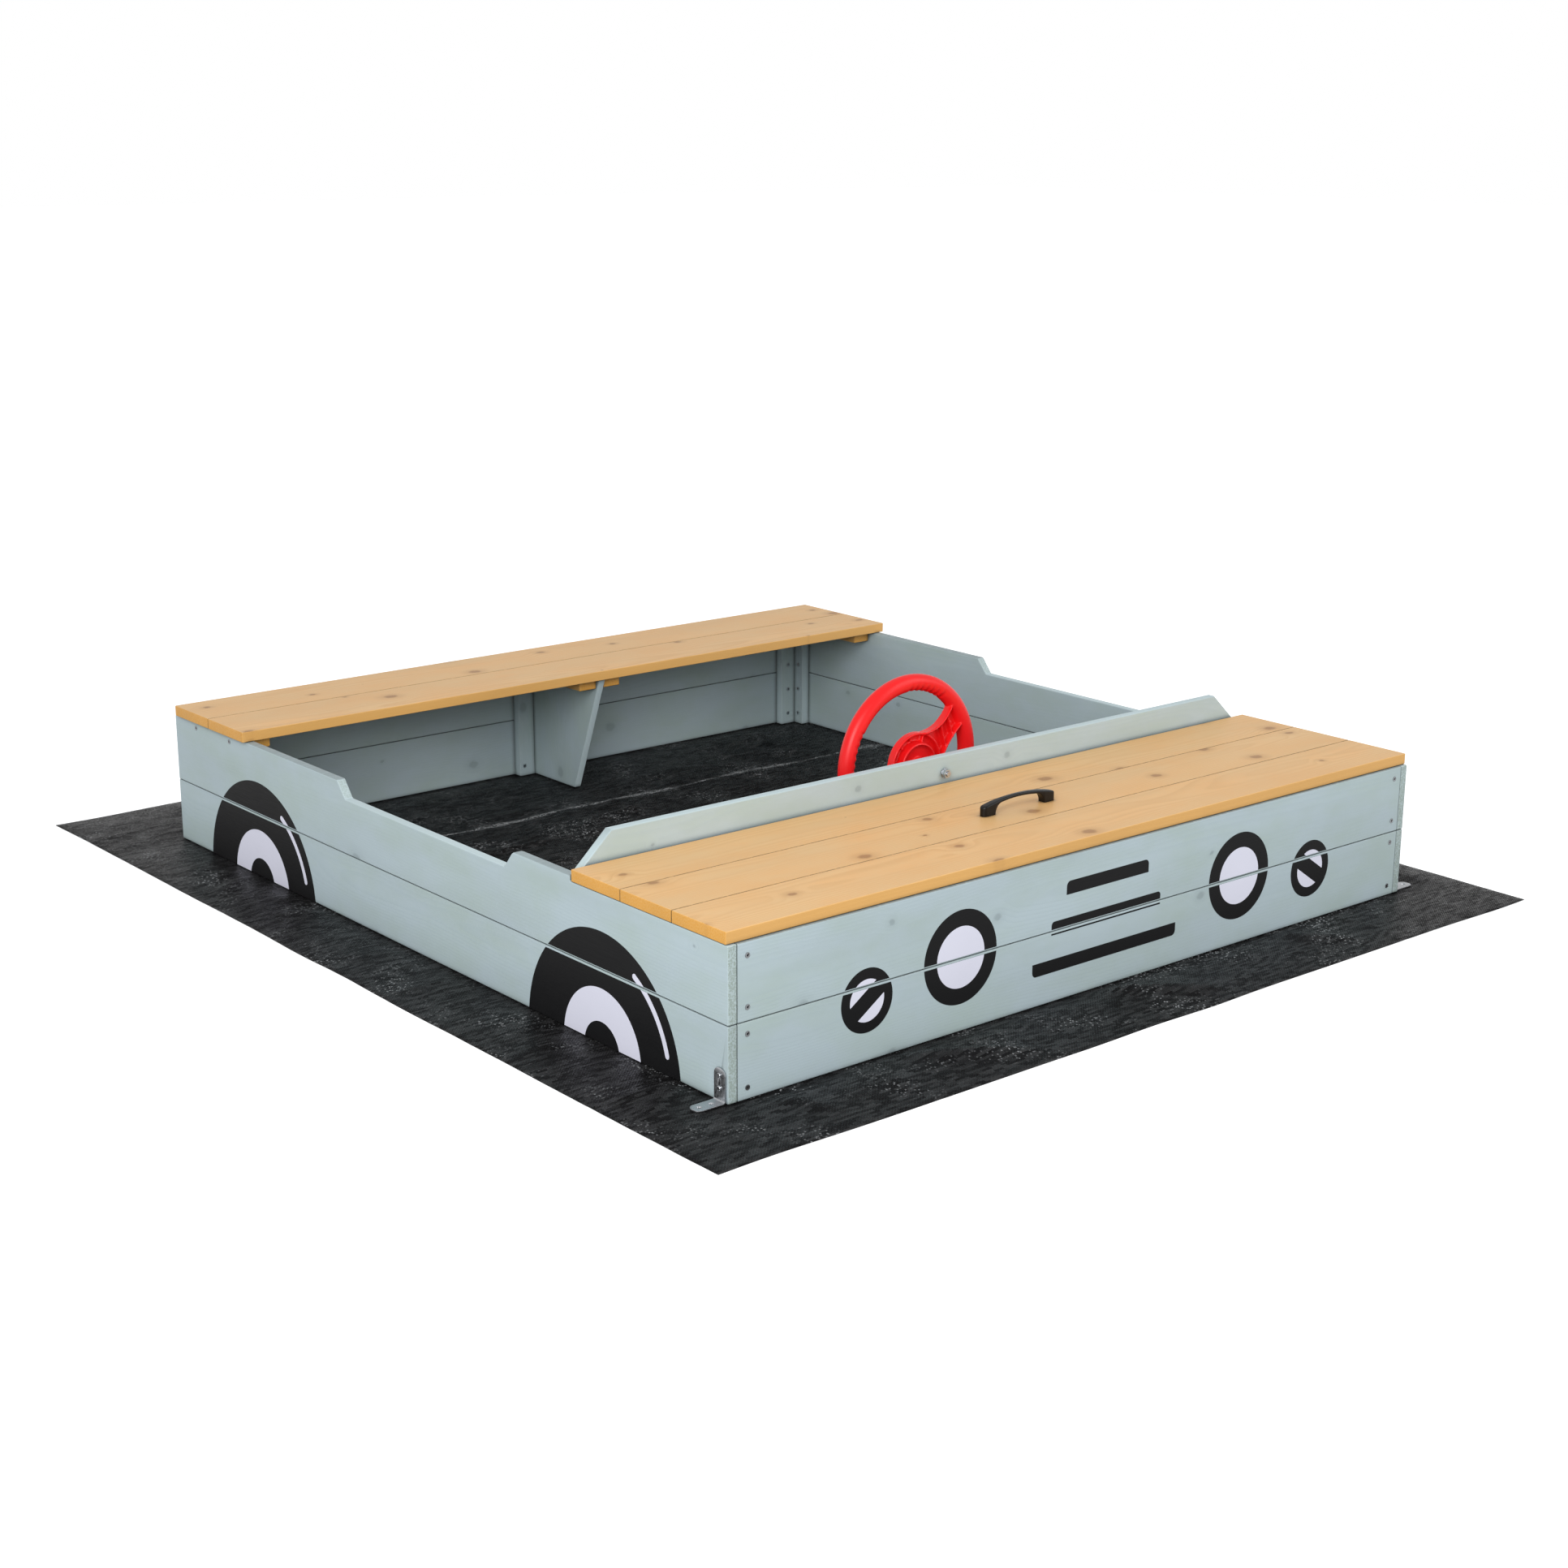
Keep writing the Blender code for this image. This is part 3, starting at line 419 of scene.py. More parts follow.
def coat(mesh, material):
    """Gives a mesh one finish and no other."""
    mesh.materials.clear()
    mesh.materials.append(material)


def smooth(mesh, angle=FACET_ANGLE):
    """Shades a mesh smooth except at edges sharper than an angle."""
    mesh.shade_smooth()
    mesh.set_sharp_from_angle(angle=angle)


def skin(shape, loops):
    """Adds the faces between each loop of corners and the next."""
    for near, far in zip(loops, loops[1:]):
        for k in range(len(near)):
            n = (k + 1) % len(near)
            shape.faces.new((near[k], near[n], far[n], far[k]))


def loft(shape, rings):
    """Adds a solid through rings of places that match one another, with flat ends."""
    loops = [[shape.verts.new(p) for p in ring] for ring in rings]
    skin(shape, loops)
    shape.faces.new(loops[0])
    shape.faces.new(loops[-1][::-1])


# Boards


def body_of_node(name):
    """The CAD body that a node belongs to."""
    return frame["nodes"][name]["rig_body"]


def seam_reach(node, low, high, axes, way):
    """Half sizes of a board, but far too much on the sides where no other board lies against it."""
    middle, reach = (low + high) / 2, []
    for axis in axes:
        others = [axes[k] for k in range(3) if axes[k] != axis]
        found = FAR
        for name, near in BOARD_BOXES.items():
            gap = near[0][axis] - high[axis] if way > 0 else low[axis] - near[1][axis]
            beside = all(near[0][i] < high[i] and near[1][i] > low[i] for i in others)
            if name != node and abs(gap) < BOARD_GAP and beside:
                found = high[axis] - middle[axis]
        reach.append(found)
    return reach


def grained_copy(node, material, along=None):
    """A merged copy of a wooden CAD piece that carries its own grain directions."""
    low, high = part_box(node)
    size = high - low
    axes = sorted(range(3), key=lambda i: -size[i])
    if along is not None:
        axes = [along] + [i for i in axes if i != along]
    shape = bmesh.new()
    shape.from_mesh(frame["nodes"][node].data)
    bmesh.ops.remove_doubles(shape, verts=shape.verts, dist=MERGE)
    mesh = mesh_of(node + "_timber", shape)
    points = np.array([v.co for v in mesh.vertices]) - np.array((low + high) / 2)
    draw = random.Random(node)
    constant = {
        "board_seed": [draw.random() for _ in range(3)],
        "along": [float(i == axes[0]) for i in range(3)],
        "through": [float(i == axes[2]) for i in range(3)],
        "seam_below": seam_reach(node, low, high, axes, -1),
        "seam_above": seam_reach(node, low, high, axes, 1),
    }
    values = {name: np.tile(value, (len(points), 1)) for name, value in constant.items()}
    values["grain"] = points[:, axes]
    for name, value in values.items():
        attribute = mesh.attributes.new(name, "FLOAT_VECTOR", "POINT")
        attribute.data.foreach_set("vector", value.astype(np.float32).ravel())
    coat(mesh, material)
    smooth(mesh)
    piece = new_piece(node + "_timber", mesh)
    weighted = piece.modifiers.new("flat faces", "WEIGHTED_NORMAL")
    weighted.keep_sharp = True
    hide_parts(node)
    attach(piece, body_of_node(node))
    return piece


class SANDPIT_OT_walls(bpy.types.Operator):
    """Stained wall boards, the dashboard and the bench's gusset"""

    bl_idname = "sandpit.walls"
    bl_label = "Walls"

    def execute(self, context):
        material = stained_spruce()
        for node in frame["nodes"]:
            if node.split("_")[0] in ("left", "right", "front", "rear", "dash") and "_board_" in node:
                grained_copy(node, material)
        grained_copy("bench_gusset", material, along=2)
        for node in frame["nodes"]:
            if "_batten" in node and not node.startswith("lid"):
                grained_copy(node, material)
        return {"FINISHED"}


class SANDPIT_OT_honey_timber(bpy.types.Operator):
    """Oiled lid boards, lid battens, bench boards and cleats"""

    bl_idname = "sandpit.honey_timber"
    bl_label = "Lid and bench"

    def execute(self, context):
        material = oiled_spruce()
        for node in frame["nodes"]:
            if node.startswith(("lid_board", "lid_batten", "bench_board", "bench_cleat")):
                grained_copy(node, material)
        return {"FINISHED"}


# Ground sheet

SIDE_MARGIN = 0.15
WALL_HOLD = 0.045
LONG_CREASES = (-0.52, 0.02, 0.55)
CROSS_CREASES = (-0.75, -0.20, 0.33, 0.87)
FRONT_FOLDS = ((-0.49, -0.24, 1.0), (-0.05, 0.16, 0.9), (0.38, 0.52, 0.7), (-0.70, -0.62, 0.5))
FRONT_FOLD_W = 0.016

def woven_polypropylene():
    """Flat black tapes woven one over one. Each cell's bump tilts its own way; paler tapes, bright specks
    and a bright crease line are painted into the colour: painted sheen and painted glints.
    """
    settings = bpy.context.scene.sandpit.sheet
    material, tree, shader = new_finish("woven_polypropylene", {"IOR": 1.49})
    place = add(tree, "UVMap", uv_map="cloth")
    pitch = settings.tape_pitch
    stretch = (1 / (7 * pitch), 0.5 / pitch, 0.0)
    lengths = add(tree, "VectorMath", [place, stretch], operation="MULTIPLY")
    row = add(tree, "VectorMath", [lengths], operation="FLOOR")
    row = add(tree, "SeparateXYZ", [row], out="Y")
    stagger = add(tree, "Math", [row, 0.37], operation="MULTIPLY")
    stagger = add(tree, "CombineXYZ", {"X": stagger})
    tape = add(tree, "VectorMath", [lengths, stagger], operation="ADD")
    tape = add(tree, "VectorMath", [tape], operation="FLOOR")
    tape = add(tree, "TexWhiteNoise", [tape], out="Value", noise_dimensions="2D")
    scaled = add(tree, "VectorMath", {0: place, "Scale": 1 / pitch}, operation="SCALE")
    cell = add(tree, "VectorMath", [scaled], operation="FLOOR")
    own = add(tree, "TexWhiteNoise", [cell], out="Value", noise_dimensions="2D")
    sides = add(tree, "SeparateXYZ", [scaled]).node.outputs
    whole = add(tree, "SeparateXYZ", [cell]).node.outputs
    parity = add(tree, "Math", [whole[0], whole[1]], operation="ADD")
    parity = add(tree, "Math", [parity, 0.5], operation="MULTIPLY")
    parity = add(tree, "Math", [parity], operation="FRACT")
    parity = add(tree, "Math", [parity, 2.0], operation="MULTIPLY")
    humps = []
    for side in (sides[0], sides[1]):
        turn = add(tree, "Math", [side, math.pi], operation="MULTIPLY")
        wave = add(tree, "Math", [turn], operation="SINE")
        humps.append(add(tree, "Math", [wave], operation="ABSOLUTE"))
    weave = add(tree, "Mix", {0: parity, 2: humps[0], 3: humps[1]}, data_type="FLOAT")
    crinkle = add(tree, "VectorMath", [place, (28.0, 130.0, 1.0)], operation="MULTIPLY")
    crinkle = add(tree, "TexNoise", {"Vector": crinkle, "Scale": 1.0, "Detail": 3.0}, out="Fac")
    # Noise patches where the painted sheen and the painted glints gather.
    painted_light_patches = add(tree, "TexNoise", {"Vector": place, "Scale": 9.0, "Detail": 4.0}, out="Fac")
    # Painted sheen: random tapes are painted paler within those patches.
    pale = add(tree, "MapRange", [tape, 0.35, 1.0, 0.0, 0.9])
    pale = add(tree, "Math", [pale, painted_light_patches], operation="MULTIPLY", use_clamp=True)
    mix = {"data_type": "RGBA", "out": 2}
    base = add(tree, "Mix", {0: pale, 6: settings.tape, 7: settings.tape_sheen_colour}, **mix)
    # Painted glints: single cells are painted bright within the patches.
    glint_patch = add(tree, "MapRange", [painted_light_patches, 0.50, 0.68, 0.0, 1.0])
    spark = add(tree, "MapRange", [own, 0.90, 0.94, 0.0, 0.9])
    # Painted glint: a bright line along a packing crease, strongest inside the walls and broken in places.
    flat_way = add(tree, "SeparateXYZ", [place]).node.outputs
    bend = add(tree, "VectorMath", [place, (3.0, 0.5, 0.0)], operation="MULTIPLY")
    bend = add(tree, "TexNoise", {"Vector": bend, "Scale": 1.0, "Detail": 2.0}, out="Fac")
    crease = add(tree, "Math", [bend, 0.040, flat_way[1]], operation="MULTIPLY_ADD")
    crease = add(tree, "Math", [crease, settings.crease + 0.020], operation="SUBTRACT")
    crease = add(tree, "Math", [crease], operation="ABSOLUTE")
    bright = add(tree, "MapRange", [painted_light_patches, 0.42, 0.60, 0.005, 0.014])
    crease = add(tree, "MapRange", [crease, bright, 0.001, 0.0, 0.9])
    often = add(tree, "MapRange", [own, 0.35, 0.55, 0.0, 1.0])
    middle = add(tree, "Math", [flat_way[0], SIDE_X + SIDE_MARGIN], operation="SUBTRACT")
    middle = add(tree, "Math", [middle], operation="ABSOLUTE")
    inside = add(tree, "MapRange", [middle, SIDE_X, SIDE_X - 0.03, 0.0, 1.0])
    gaps = add(tree, "TexNoise", {"Vector": place, "Scale": 23.0, "Detail": 2.0}, out="Fac")
    gaps = add(tree, "MapRange", [gaps, 0.38, 0.50, 0.35, 1.3])
    inside = add(tree, "Math", [inside, gaps], operation="MULTIPLY")
    often = add(tree, "Math", [often, inside], operation="MULTIPLY")
    crease = add(tree, "Math", [crease, often], operation="MULTIPLY")
    spark = add(tree, "Math", [spark, glint_patch, crease], operation="MULTIPLY_ADD", use_clamp=True)
    # The painted glints mix the glint colour into the tapes.
    base = add(tree, "Mix", {0: spark, 6: base, 7: settings.tape_glint}, **mix)
    sheen = add(tree, "MapRange", [tape, 0.0, 1.0, 0.04, 0.22])
    gloss = add(tree, "MapRange", [own, 0.0, 1.0, 0.24, 0.50])
    height = add(tree, "Math", [own, 0.35, weave], operation="MULTIPLY_ADD")
    bump = add(tree, "Bump", {"Strength": 0.8, "Distance": 0.0006, "Height": height})
    inputs = {"Strength": 0.70, "Distance": 0.0028, "Height": crinkle, "Normal": bump}
    ripple = add(tree, "Bump", inputs)
    feed(tree, shader, {"Base Color": base, "Specular IOR Level": sheen})
    feed(tree, shader, {"Roughness": gloss, "Normal": ripple})
    return material


def soft_noise(x, y, across, down, level):
    """Smooth noise on a grid, stretched by its two frequencies."""
    places = (Vector((a * across, b * down, level)) for a, b in zip(x.flat, y.flat))
    return np.array([noise.noise(place) for place in places]).reshape(x.shape)


def room_to_walls(x, y):
    """How far each point is from whatever stands on the sheet."""
    nearest = np.full(x.shape, 1.0)
    for node in frame["nodes"]:
        low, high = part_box(node)
        if node == "ground_sheet" or low.z > WALL_FOOT + BOARD_GAP:
            continue
        dx = np.maximum(np.maximum(low.x - x, x - high.x), 0.0)
        dy = np.maximum(np.maximum(low.y - y, y - high.y), 0.0)
        nearest = np.minimum(nearest, np.hypot(dx, dy))
    return nearest


def folds_of_sheet(settings):
    """Soft folds that run from the walls to the sheet's edge, as (start, end, height, width)."""
    low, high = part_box("ground_sheet")
    draw = random.Random(settings.seed)
    tall = settings.fold_height
    folds = []
    for x0, x1, share in FRONT_FOLDS:
        folds.append(((x0, FRONT_Y), (x1, low.y), share * tall, FRONT_FOLD_W))
    for side, edge in ((-SIDE_X, low.x), (SIDE_X, high.x)):
        for i in range(7):
            y = FRONT_Y + (REAR_Y - FRONT_Y) * (i + draw.uniform(0.2, 0.8)) / 7
            lean = draw.uniform(-0.09, 0.09)
            high_part, width = draw.uniform(0.3, 0.6), draw.uniform(0.012, 0.022)
            folds.append(((side, y), (edge, y + lean), high_part * tall, width))
    for i in range(5):
        x = -SIDE_X + 2 * SIDE_X * (i + draw.uniform(0.2, 0.8)) / 5
        lean = draw.uniform(-0.15, 0.15)
        high_part, width = draw.uniform(0.5, 1.0), draw.uniform(0.014, 0.028)
        folds.append(((x, REAR_Y), (x + lean, high.y), high_part * tall, width))
    return folds


def fold_rise(x, y, fold):
    """Height that one fold adds: nothing at the wall, most halfway out, and little at the sheet's edge."""
    (x0, y0), (x1, y1), tall, width = fold
    run = np.array((x1 - x0, y1 - y0))
    reach = np.hypot(*run)
    run /= reach
    share = ((x - x0) * run[0] + (y - y0) * run[1]) / reach
    aside = (x - x0) * run[1] - (y - y0) * run[0]
    across = np.exp(-((aside / width) ** 2))
    return tall * across * np.sin(math.pi * np.clip(share, 0.0, 1.0) ** 0.8)


class SANDPIT_OT_ground_sheet(bpy.types.Operator):
    """Woven ground sheet with packing creases, ripples and soft folds"""

    bl_idname = "sandpit.ground_sheet"
    bl_label = "Ground sheet"

    def execute(self, context):
        settings = context.scene.sandpit.sheet
        low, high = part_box("ground_sheet")
        low -= Vector((settings.spare_left, settings.spare_front, 0.0))
        flat = (high.x - low.x, high.y - low.y)
        along = [np.linspace(0, side, round(side / settings.cell) + 1) for side in flat]
        u, v = np.meshgrid(*along, indexing="ij")
        x, y = low.x + u, low.y + v
        slow = soft_noise(x, y, 5.0, 9.0, 1.5)
        quick = soft_noise(x, y, 9.0, 38.0, 4.5)
        free = np.clip(room_to_walls(x, y) / WALL_HOLD, 0.0, 1.0)
        free = free * free * (3 - 2 * free)
        rise = 0.0030 + 0.0042 * slow + 0.0020 * quick
        for crease in LONG_CREASES:
            rise += 0.0026 * np.exp(-np.abs((x - crease + 0.012 * slow) / 0.009))
        for crease in CROSS_CREASES:
            rise += 0.0034 * np.exp(-np.abs((y - crease + 0.012 * slow) / 0.010))
        outside = (np.abs(x) > SIDE_X) | (y < FRONT_Y) | (y > REAR_Y)
        for fold in folds_of_sheet(settings):
            rise += outside * fold_rise(x, y, fold)
        brim = np.minimum(np.minimum(x - low.x, high.x - x), np.minimum(y - low.y, high.y - y))
        free *= 0.15 + 0.85 * np.clip(brim / 0.06, 0.0, 1.0)
        z = 0.0001 + np.maximum(rise, 0.0) * free
        edge_x = np.clip((np.abs(x) - SIDE_X - 0.02) / (high.x - SIDE_X), 0.0, 1.0)
        edge_y = np.clip(np.maximum(FRONT_Y - y, y - REAR_Y) / (FRONT_Y - low.y), 0.0, 1.0)
        x = x + np.sign(x) * edge_x * settings.edge_wander * np.sin(9.0 * y + 2.5 * np.sin(5.0 * y))
        y = y + np.sign(y) * edge_y * settings.edge_wander * np.sin(11.0 * x + 2.0 * np.sin(7.0 * x))
        sheet = grid_piece("ground_sheet_cloth", np.stack([x, y, z], -1), np.stack([u, v], -1))
        sheet.data.materials.append(woven_polypropylene())
        shell = sheet.modifiers.new("thickness", "SOLIDIFY")
        shell.thickness = settings.thickness
        shell.offset = 1.0
        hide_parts("ground_sheet")
        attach(sheet, body_of_node("ground_sheet"))
        return {"FINISHED"}


def grid_piece(name, points, flat):
    """A smooth mesh from a grid of points, with its flat cloth coordinates as the UV map."""
    rows, columns = points.shape[:2]
    index = np.arange(rows * columns).reshape(rows, columns)
    faces = np.stack([index[:-1, :-1], index[1:, :-1], index[1:, 1:], index[:-1, 1:]], -1).reshape(-1, 4)
    mesh = bpy.data.meshes.new(name)
    mesh.from_pydata(points.reshape(-1, 3).tolist(), [], faces.tolist())
    cloth = mesh.uv_layers.new(name="cloth")
    corners = np.zeros(len(mesh.loops), np.int32)
    mesh.loops.foreach_get("vertex_index", corners)
    cloth.data.foreach_set("uv", flat.reshape(-1, 2)[corners].astype(np.float32).ravel())
    mesh.shade_smooth()
    return new_piece(name, mesh)


# Prints


def printed_film(name, tone, roughness):
    """Thin vinyl film pressed on the stained boards: even, half matt, with the grain just telegraphing."""
    material, tree, shader = new_finish(name, {"IOR": 1.48, "Specular IOR Level": 0.3})
    place = add(tree, "TexCoord", out="Object")
    long = add(tree, "VectorMath", [place, (30.0, 30.0, 700.0)], operation="MULTIPLY")
    fibre = add(tree, "TexNoise", {"Vector": long, "Scale": 1.0, "Detail": 3.0}, out="Fac")
    cloud = add(tree, "TexNoise", {"Vector": place, "Scale": 6.0, "Detail": 3.0}, out="Fac")
    gloss = (roughness - 0.06, roughness + 0.06)
    plain_tone(tree, shader, tone, cloud, (0.12, 0.94), fibre, gloss, fibre, 0.25)
    return material


def sector(shape, centre, inner, outer, start, stop, steps):
    """Adds a stretch of a ring, or of a disc where inner is 0, to a flat shape."""
    angles = [start + (stop - start) * i / steps for i in range(steps + 1)]

    def arc(r):
        places = [(centre[0] + r * math.cos(a), centre[1] + r * math.sin(a), 0) for a in angles]
        return [shape.verts.new(place) for place in places]

    rim = arc(outer)
    if inner:
        near = arc(inner)
        for i in range(steps):
            shape.faces.new((near[i], rim[i], rim[i + 1], near[i + 1]))
    else:
        middle = shape.verts.new((centre[0], centre[1], 0))
        for i in range(steps):
            shape.faces.new((middle, rim[i], rim[i + 1]))


def rounded_bar(shape, half, bottom, top, radius, corner_steps=6):
    """Adds a bar whose top corners, or bottom ones where radius is negative, are rounded."""
    r = abs(radius)
    arc = [(r * math.sin(a), r - r * math.cos(a)) for a in np.linspace(0, math.pi / 2, corner_steps)]
    right = [(half - r + a, b) for a, b in arc]
    rise = top - bottom
    outline = [(-a, b) for a, b in reversed(right)] + right + [(half, rise), (-half, rise)]
    if radius > 0:
        outline = [(a, rise - b) for a, b in reversed(outline)]
    shape.faces.new([shape.verts.new((a, bottom + b, 0)) for a, b in outline])


def cut(shape, point, away):
    """Cuts a flat shape along a line and drops what is on the side that away points to."""
    parts = shape.verts[:] + shape.edges[:] + shape.faces[:]
    bmesh.ops.bisect_plane(
        shape, geom=parts, dist=MERGE, plane_co=(*point, 0), plane_no=(*away, 0), clear_outer=True
    )


def print_bands():
    """The heights between which film lies on the lower and on the upper boards."""
    settings = bpy.context.scene.sandpit.print
    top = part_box("left_board_upper")[1].z
    return ((WALL_FOOT + 0.0005, SEAM_Z - settings.seam_below), (SEAM_Z + settings.seam_above, top))


def film_piece(name, draws, wall, lift, material):
    """One film of several flat drawings on one wall, cut back from the seam between its boards.

    wall turns a point (along the wall, height) and a depth out of it into a place.
    """
    thickness = bpy.context.scene.sandpit.print.thickness
    whole = bmesh.new()
    for draw in draws:
        for low, high in print_bands():
            shape = bmesh.new()
            draw(shape)
            cut(shape, (0, low), (0, -1))
            cut(shape, (0, high), (0, 1))
            bmesh.ops.remove_doubles(shape, verts=shape.verts, dist=MERGE)
            if shape.faces:
                flat = bpy.data.meshes.new("flat")
                shape.to_mesh(flat)
                whole.from_mesh(flat)
                bpy.data.meshes.remove(flat)
            shape.free()
    bmesh.ops.recalc_face_normals(whole, faces=whole.faces)
    bottom = whole.faces[:]
    grown = bmesh.ops.extrude_face_region(whole, geom=bottom, use_keep_orig=True)["geom"]
    for v in (g for g in grown if isinstance(g, bmesh.types.BMVert)):
        v.co.z = thickness
    for v in whole.verts:
        v.co = wall(v.co.x, v.co.y, v.co.z + lift)
    piece = solid(name, whole)
    coat(piece.data, material)
    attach(piece, "box")
    return piece


def film_finishes():
    """The dark and the light film, made once."""
    settings = bpy.context.scene.sandpit.print
    found = bpy.data.materials.get("black_vinyl_film")
    dark = found or printed_film("black_vinyl_film", settings.dark, 0.48)
    found = bpy.data.materials.get("white_vinyl_film")
    light = found or printed_film("white_vinyl_film", settings.light, 0.42)
    return dark, light


DARK_LIFT, LIGHT_LIFT = 0.00005, 0.00025
HEADLAMP = (0.313, 0.1185)
FOG_LAMP = (0.497, 0.0945)
FOG_BAR_ANGLE = math.radians(34)
GRILLE = ((0.092, 0.169, 0.1905, 0.008), (0.1225, 0.110, 0.1315, 0.006), (0.1615, 0.050, 0.071, -0.008))
TYRE_PLACES = (FRONT_Y + 0.2965, FRONT_Y + 1.329)
TYRE_Z, WHITE_WALL_Z = -0.015, -0.009
GLINT_ANGLES = (math.radians(16), math.radians(60))


class SANDPIT_OT_front_print(bpy.types.Operator):
    """Headlamps, fog lamps and grille on the front wall"""

    bl_idname = "sandpit.front_print"
    bl_label = "Front prints"

    def execute(self, context):
        p = context.scene.sandpit.print
        dark, light = [], []
        for side in (-1, 1):
            lamp = (side * HEADLAMP[0], HEADLAMP[1])
            fog = (side * FOG_LAMP[0], FOG_LAMP[1])
            dark.append(lambda s, c=lamp: sector(s, c, 0, p.lamp_r, 0, FULL_TURN, 96))
            light.append(lambda s, c=lamp: sector(s, c, 0, p.lamp_glass_r, 0, FULL_TURN, 80))
            dark.append(lambda s, c=fog: sector(s, c, 0, p.fog_r, 0, FULL_TURN, 72))
            for way in (-1, 1):
                light.append(lambda s, c=fog, k=side, w=way: self.glass_segment(s, c, k, w, p))
        for bar in GRILLE:
            dark.append(lambda s, b=bar: rounded_bar(s, *b))
        black, white = film_finishes()
        film_piece("front_print_dark", dark, self.wall, DARK_LIFT, black)
        film_piece("front_print_light", light, self.wall, LIGHT_LIFT, white)
        return {"FINISHED"}

    def glass_segment(self, shape, centre, side, way, p):
        """One white segment of a fog lamp, beyond the bar that crosses it."""
        sector(shape, centre, 0, p.fog_glass_r, 0, FULL_TURN, 64)
        out = (way * side * math.sin(FOG_BAR_ANGLE), way * math.cos(FOG_BAR_ANGLE))
        point = (centre[0] + p.fog_bar * out[0], centre[1] + p.fog_bar * out[1])
        cut(shape, point, (-out[0], -out[1]))

    def wall(self, along, height, out):
        """A place on the front wall."""
        return (along, FRONT_Y - out, height)


class SANDPIT_OT_side_print(bpy.types.Operator):
    """Tyres on both side walls"""

    bl_idname = "sandpit.side_print"
    bl_label = "Side prints"

    def execute(self, context):
        p = context.scene.sandpit.print
        black, white = film_finishes()
        for name, side in (("left", -1), ("right", 1)):
            dark, light = [], []
            for y in TYRE_PLACES:
                tyre, ring = (y, TYRE_Z), (y, WHITE_WALL_Z)
                dark.append(lambda s, c=tyre: sector(s, c, 0, p.tyre_r, 0, math.pi, 96))
                light.append(lambda s, c=ring: sector(s, c, p.hub_r, p.wall_r, 0, math.pi, 80))
                light.append(lambda s, c=tyre: self.glint(s, c, p))

            def wall(along, height, out, side=side):
                return (side * (SIDE_X + out), along, height)

            film_piece(name + "_print_dark", dark, wall, DARK_LIFT, black)
            film_piece(name + "_print_light", light, wall, LIGHT_LIFT, white)
        return {"FINISHED"}

    def glint(self, shape, centre, p):
        """A curved white stroke with round ends, on the tyre's front side."""
        start, stop = math.pi - GLINT_ANGLES[1], math.pi - GLINT_ANGLES[0]
        half = p.glint_w / 2
        sector(shape, centre, p.glint_r - half, p.glint_r + half, start, stop, 32)
        for angle, turn in ((start, -math.pi), (stop, 0.0)):
            tip = (centre[0] + p.glint_r * math.cos(angle), centre[1] + p.glint_r * math.sin(angle))
            sector(shape, tip, 0, half, angle + turn, angle + turn + math.pi, 10)


# Screws


def zinc_plated_steel():
    """Bright zinc plating: a grey metal with a faint mottled bloom."""
    settings = bpy.context.scene.sandpit.fittings
    material, tree, shader = new_finish("zinc_plated_steel", {"Metallic": 1.0})
    place = add(tree, "TexCoord", out="Object")
    bloom = add(tree, "TexNoise", {"Vector": place, "Scale": 350.0, "Detail": 4.0}, out="Fac")
    plain_tone(tree, shader, settings.zinc, bloom, (0.35, 0.80), bloom, (0.24, 0.42), bloom, 0.15)
    return material


def screw_head_tree(material):
    """Puts a countersunk head with a cross recess on every point, facing the point's own direction."""
    tree = bpy.data.node_groups.new("screw_heads", "GeometryNodeTree")
    tree.interface.new_socket("Geometry", in_out="INPUT", socket_type="NodeSocketGeometry")
    for name in ("Head radius", "Rise", "Recess width"):
        tree.interface.new_socket(name, in_out="INPUT", socket_type="NodeSocketFloat")
    tree.interface.new_socket("Geometry", in_out="OUTPUT", socket_type="NodeSocketGeometry")
    given = tree.nodes.new("NodeGroupInput").outputs
    radius, rise, recess = given[1], given[2], given[3]
    deep = add(tree, "Math", [rise, 4.0], operation="MULTIPLY")
    inputs = {"Vertices": 16, "Radius Top": radius, "Radius Bottom": 0.0005, "Depth": deep}
    disc = add(tree, "GeometryNodeMeshCone", inputs, out="Mesh")
    drop = add(tree, "Math", [rise, -3.0], operation="MULTIPLY")
    shift = add(tree, "CombineXYZ", {"Z": drop})
    disc = add(tree, "GeometryNodeTransform", {"Geometry": disc, "Translation": shift})
    reach = add(tree, "Math", [radius, 0.95], operation="MULTIPLY")
    bars = add(tree, "GeometryNodeJoinGeometry")
    for x, y in ((reach, recess), (recess, reach)):
        size = add(tree, "CombineXYZ", [x, y, deep])
        bar = add(tree, "GeometryNodeMeshCube", {"Size": size}, out="Mesh")
        raised = add(tree, "CombineXYZ", {"Z": deep})
        bar = add(tree, "GeometryNodeTransform", {"Geometry": bar, "Translation": raised})
        tree.links.new(bar, bars.node.inputs[0])
    down = add(tree, "Math", [deep, -0.60], operation="MULTIPLY")
    down = add(tree, "CombineXYZ", {"Z": down})
    bars = add(tree, "GeometryNodeTransform", {"Geometry": bars, "Translation": down})
    head = add(tree, "GeometryNodeMeshBoolean", {"Mesh 1": disc, "Mesh 2": bars}, operation="DIFFERENCE")
    facing = add(tree, "GeometryNodeInputNamedAttribute", ["outward"], data_type="FLOAT_VECTOR")
    turn = add(tree, "FunctionNodeAlignRotationToVector", {"Vector": facing}, axis="Z")
    inputs = {"Points": given[0], "Instance": head, "Rotation": turn}
    spread = add(tree, "GeometryNodeInstanceOnPoints", inputs)
    solid = add(tree, "GeometryNodeRealizeInstances", {"Geometry": spread})
    done = add(tree, "GeometryNodeSetMaterial", {"Geometry": solid, "Material": material})
    output = tree.nodes.new("NodeGroupOutput")
    tree.links.new(done, output.inputs[0])
    return tree


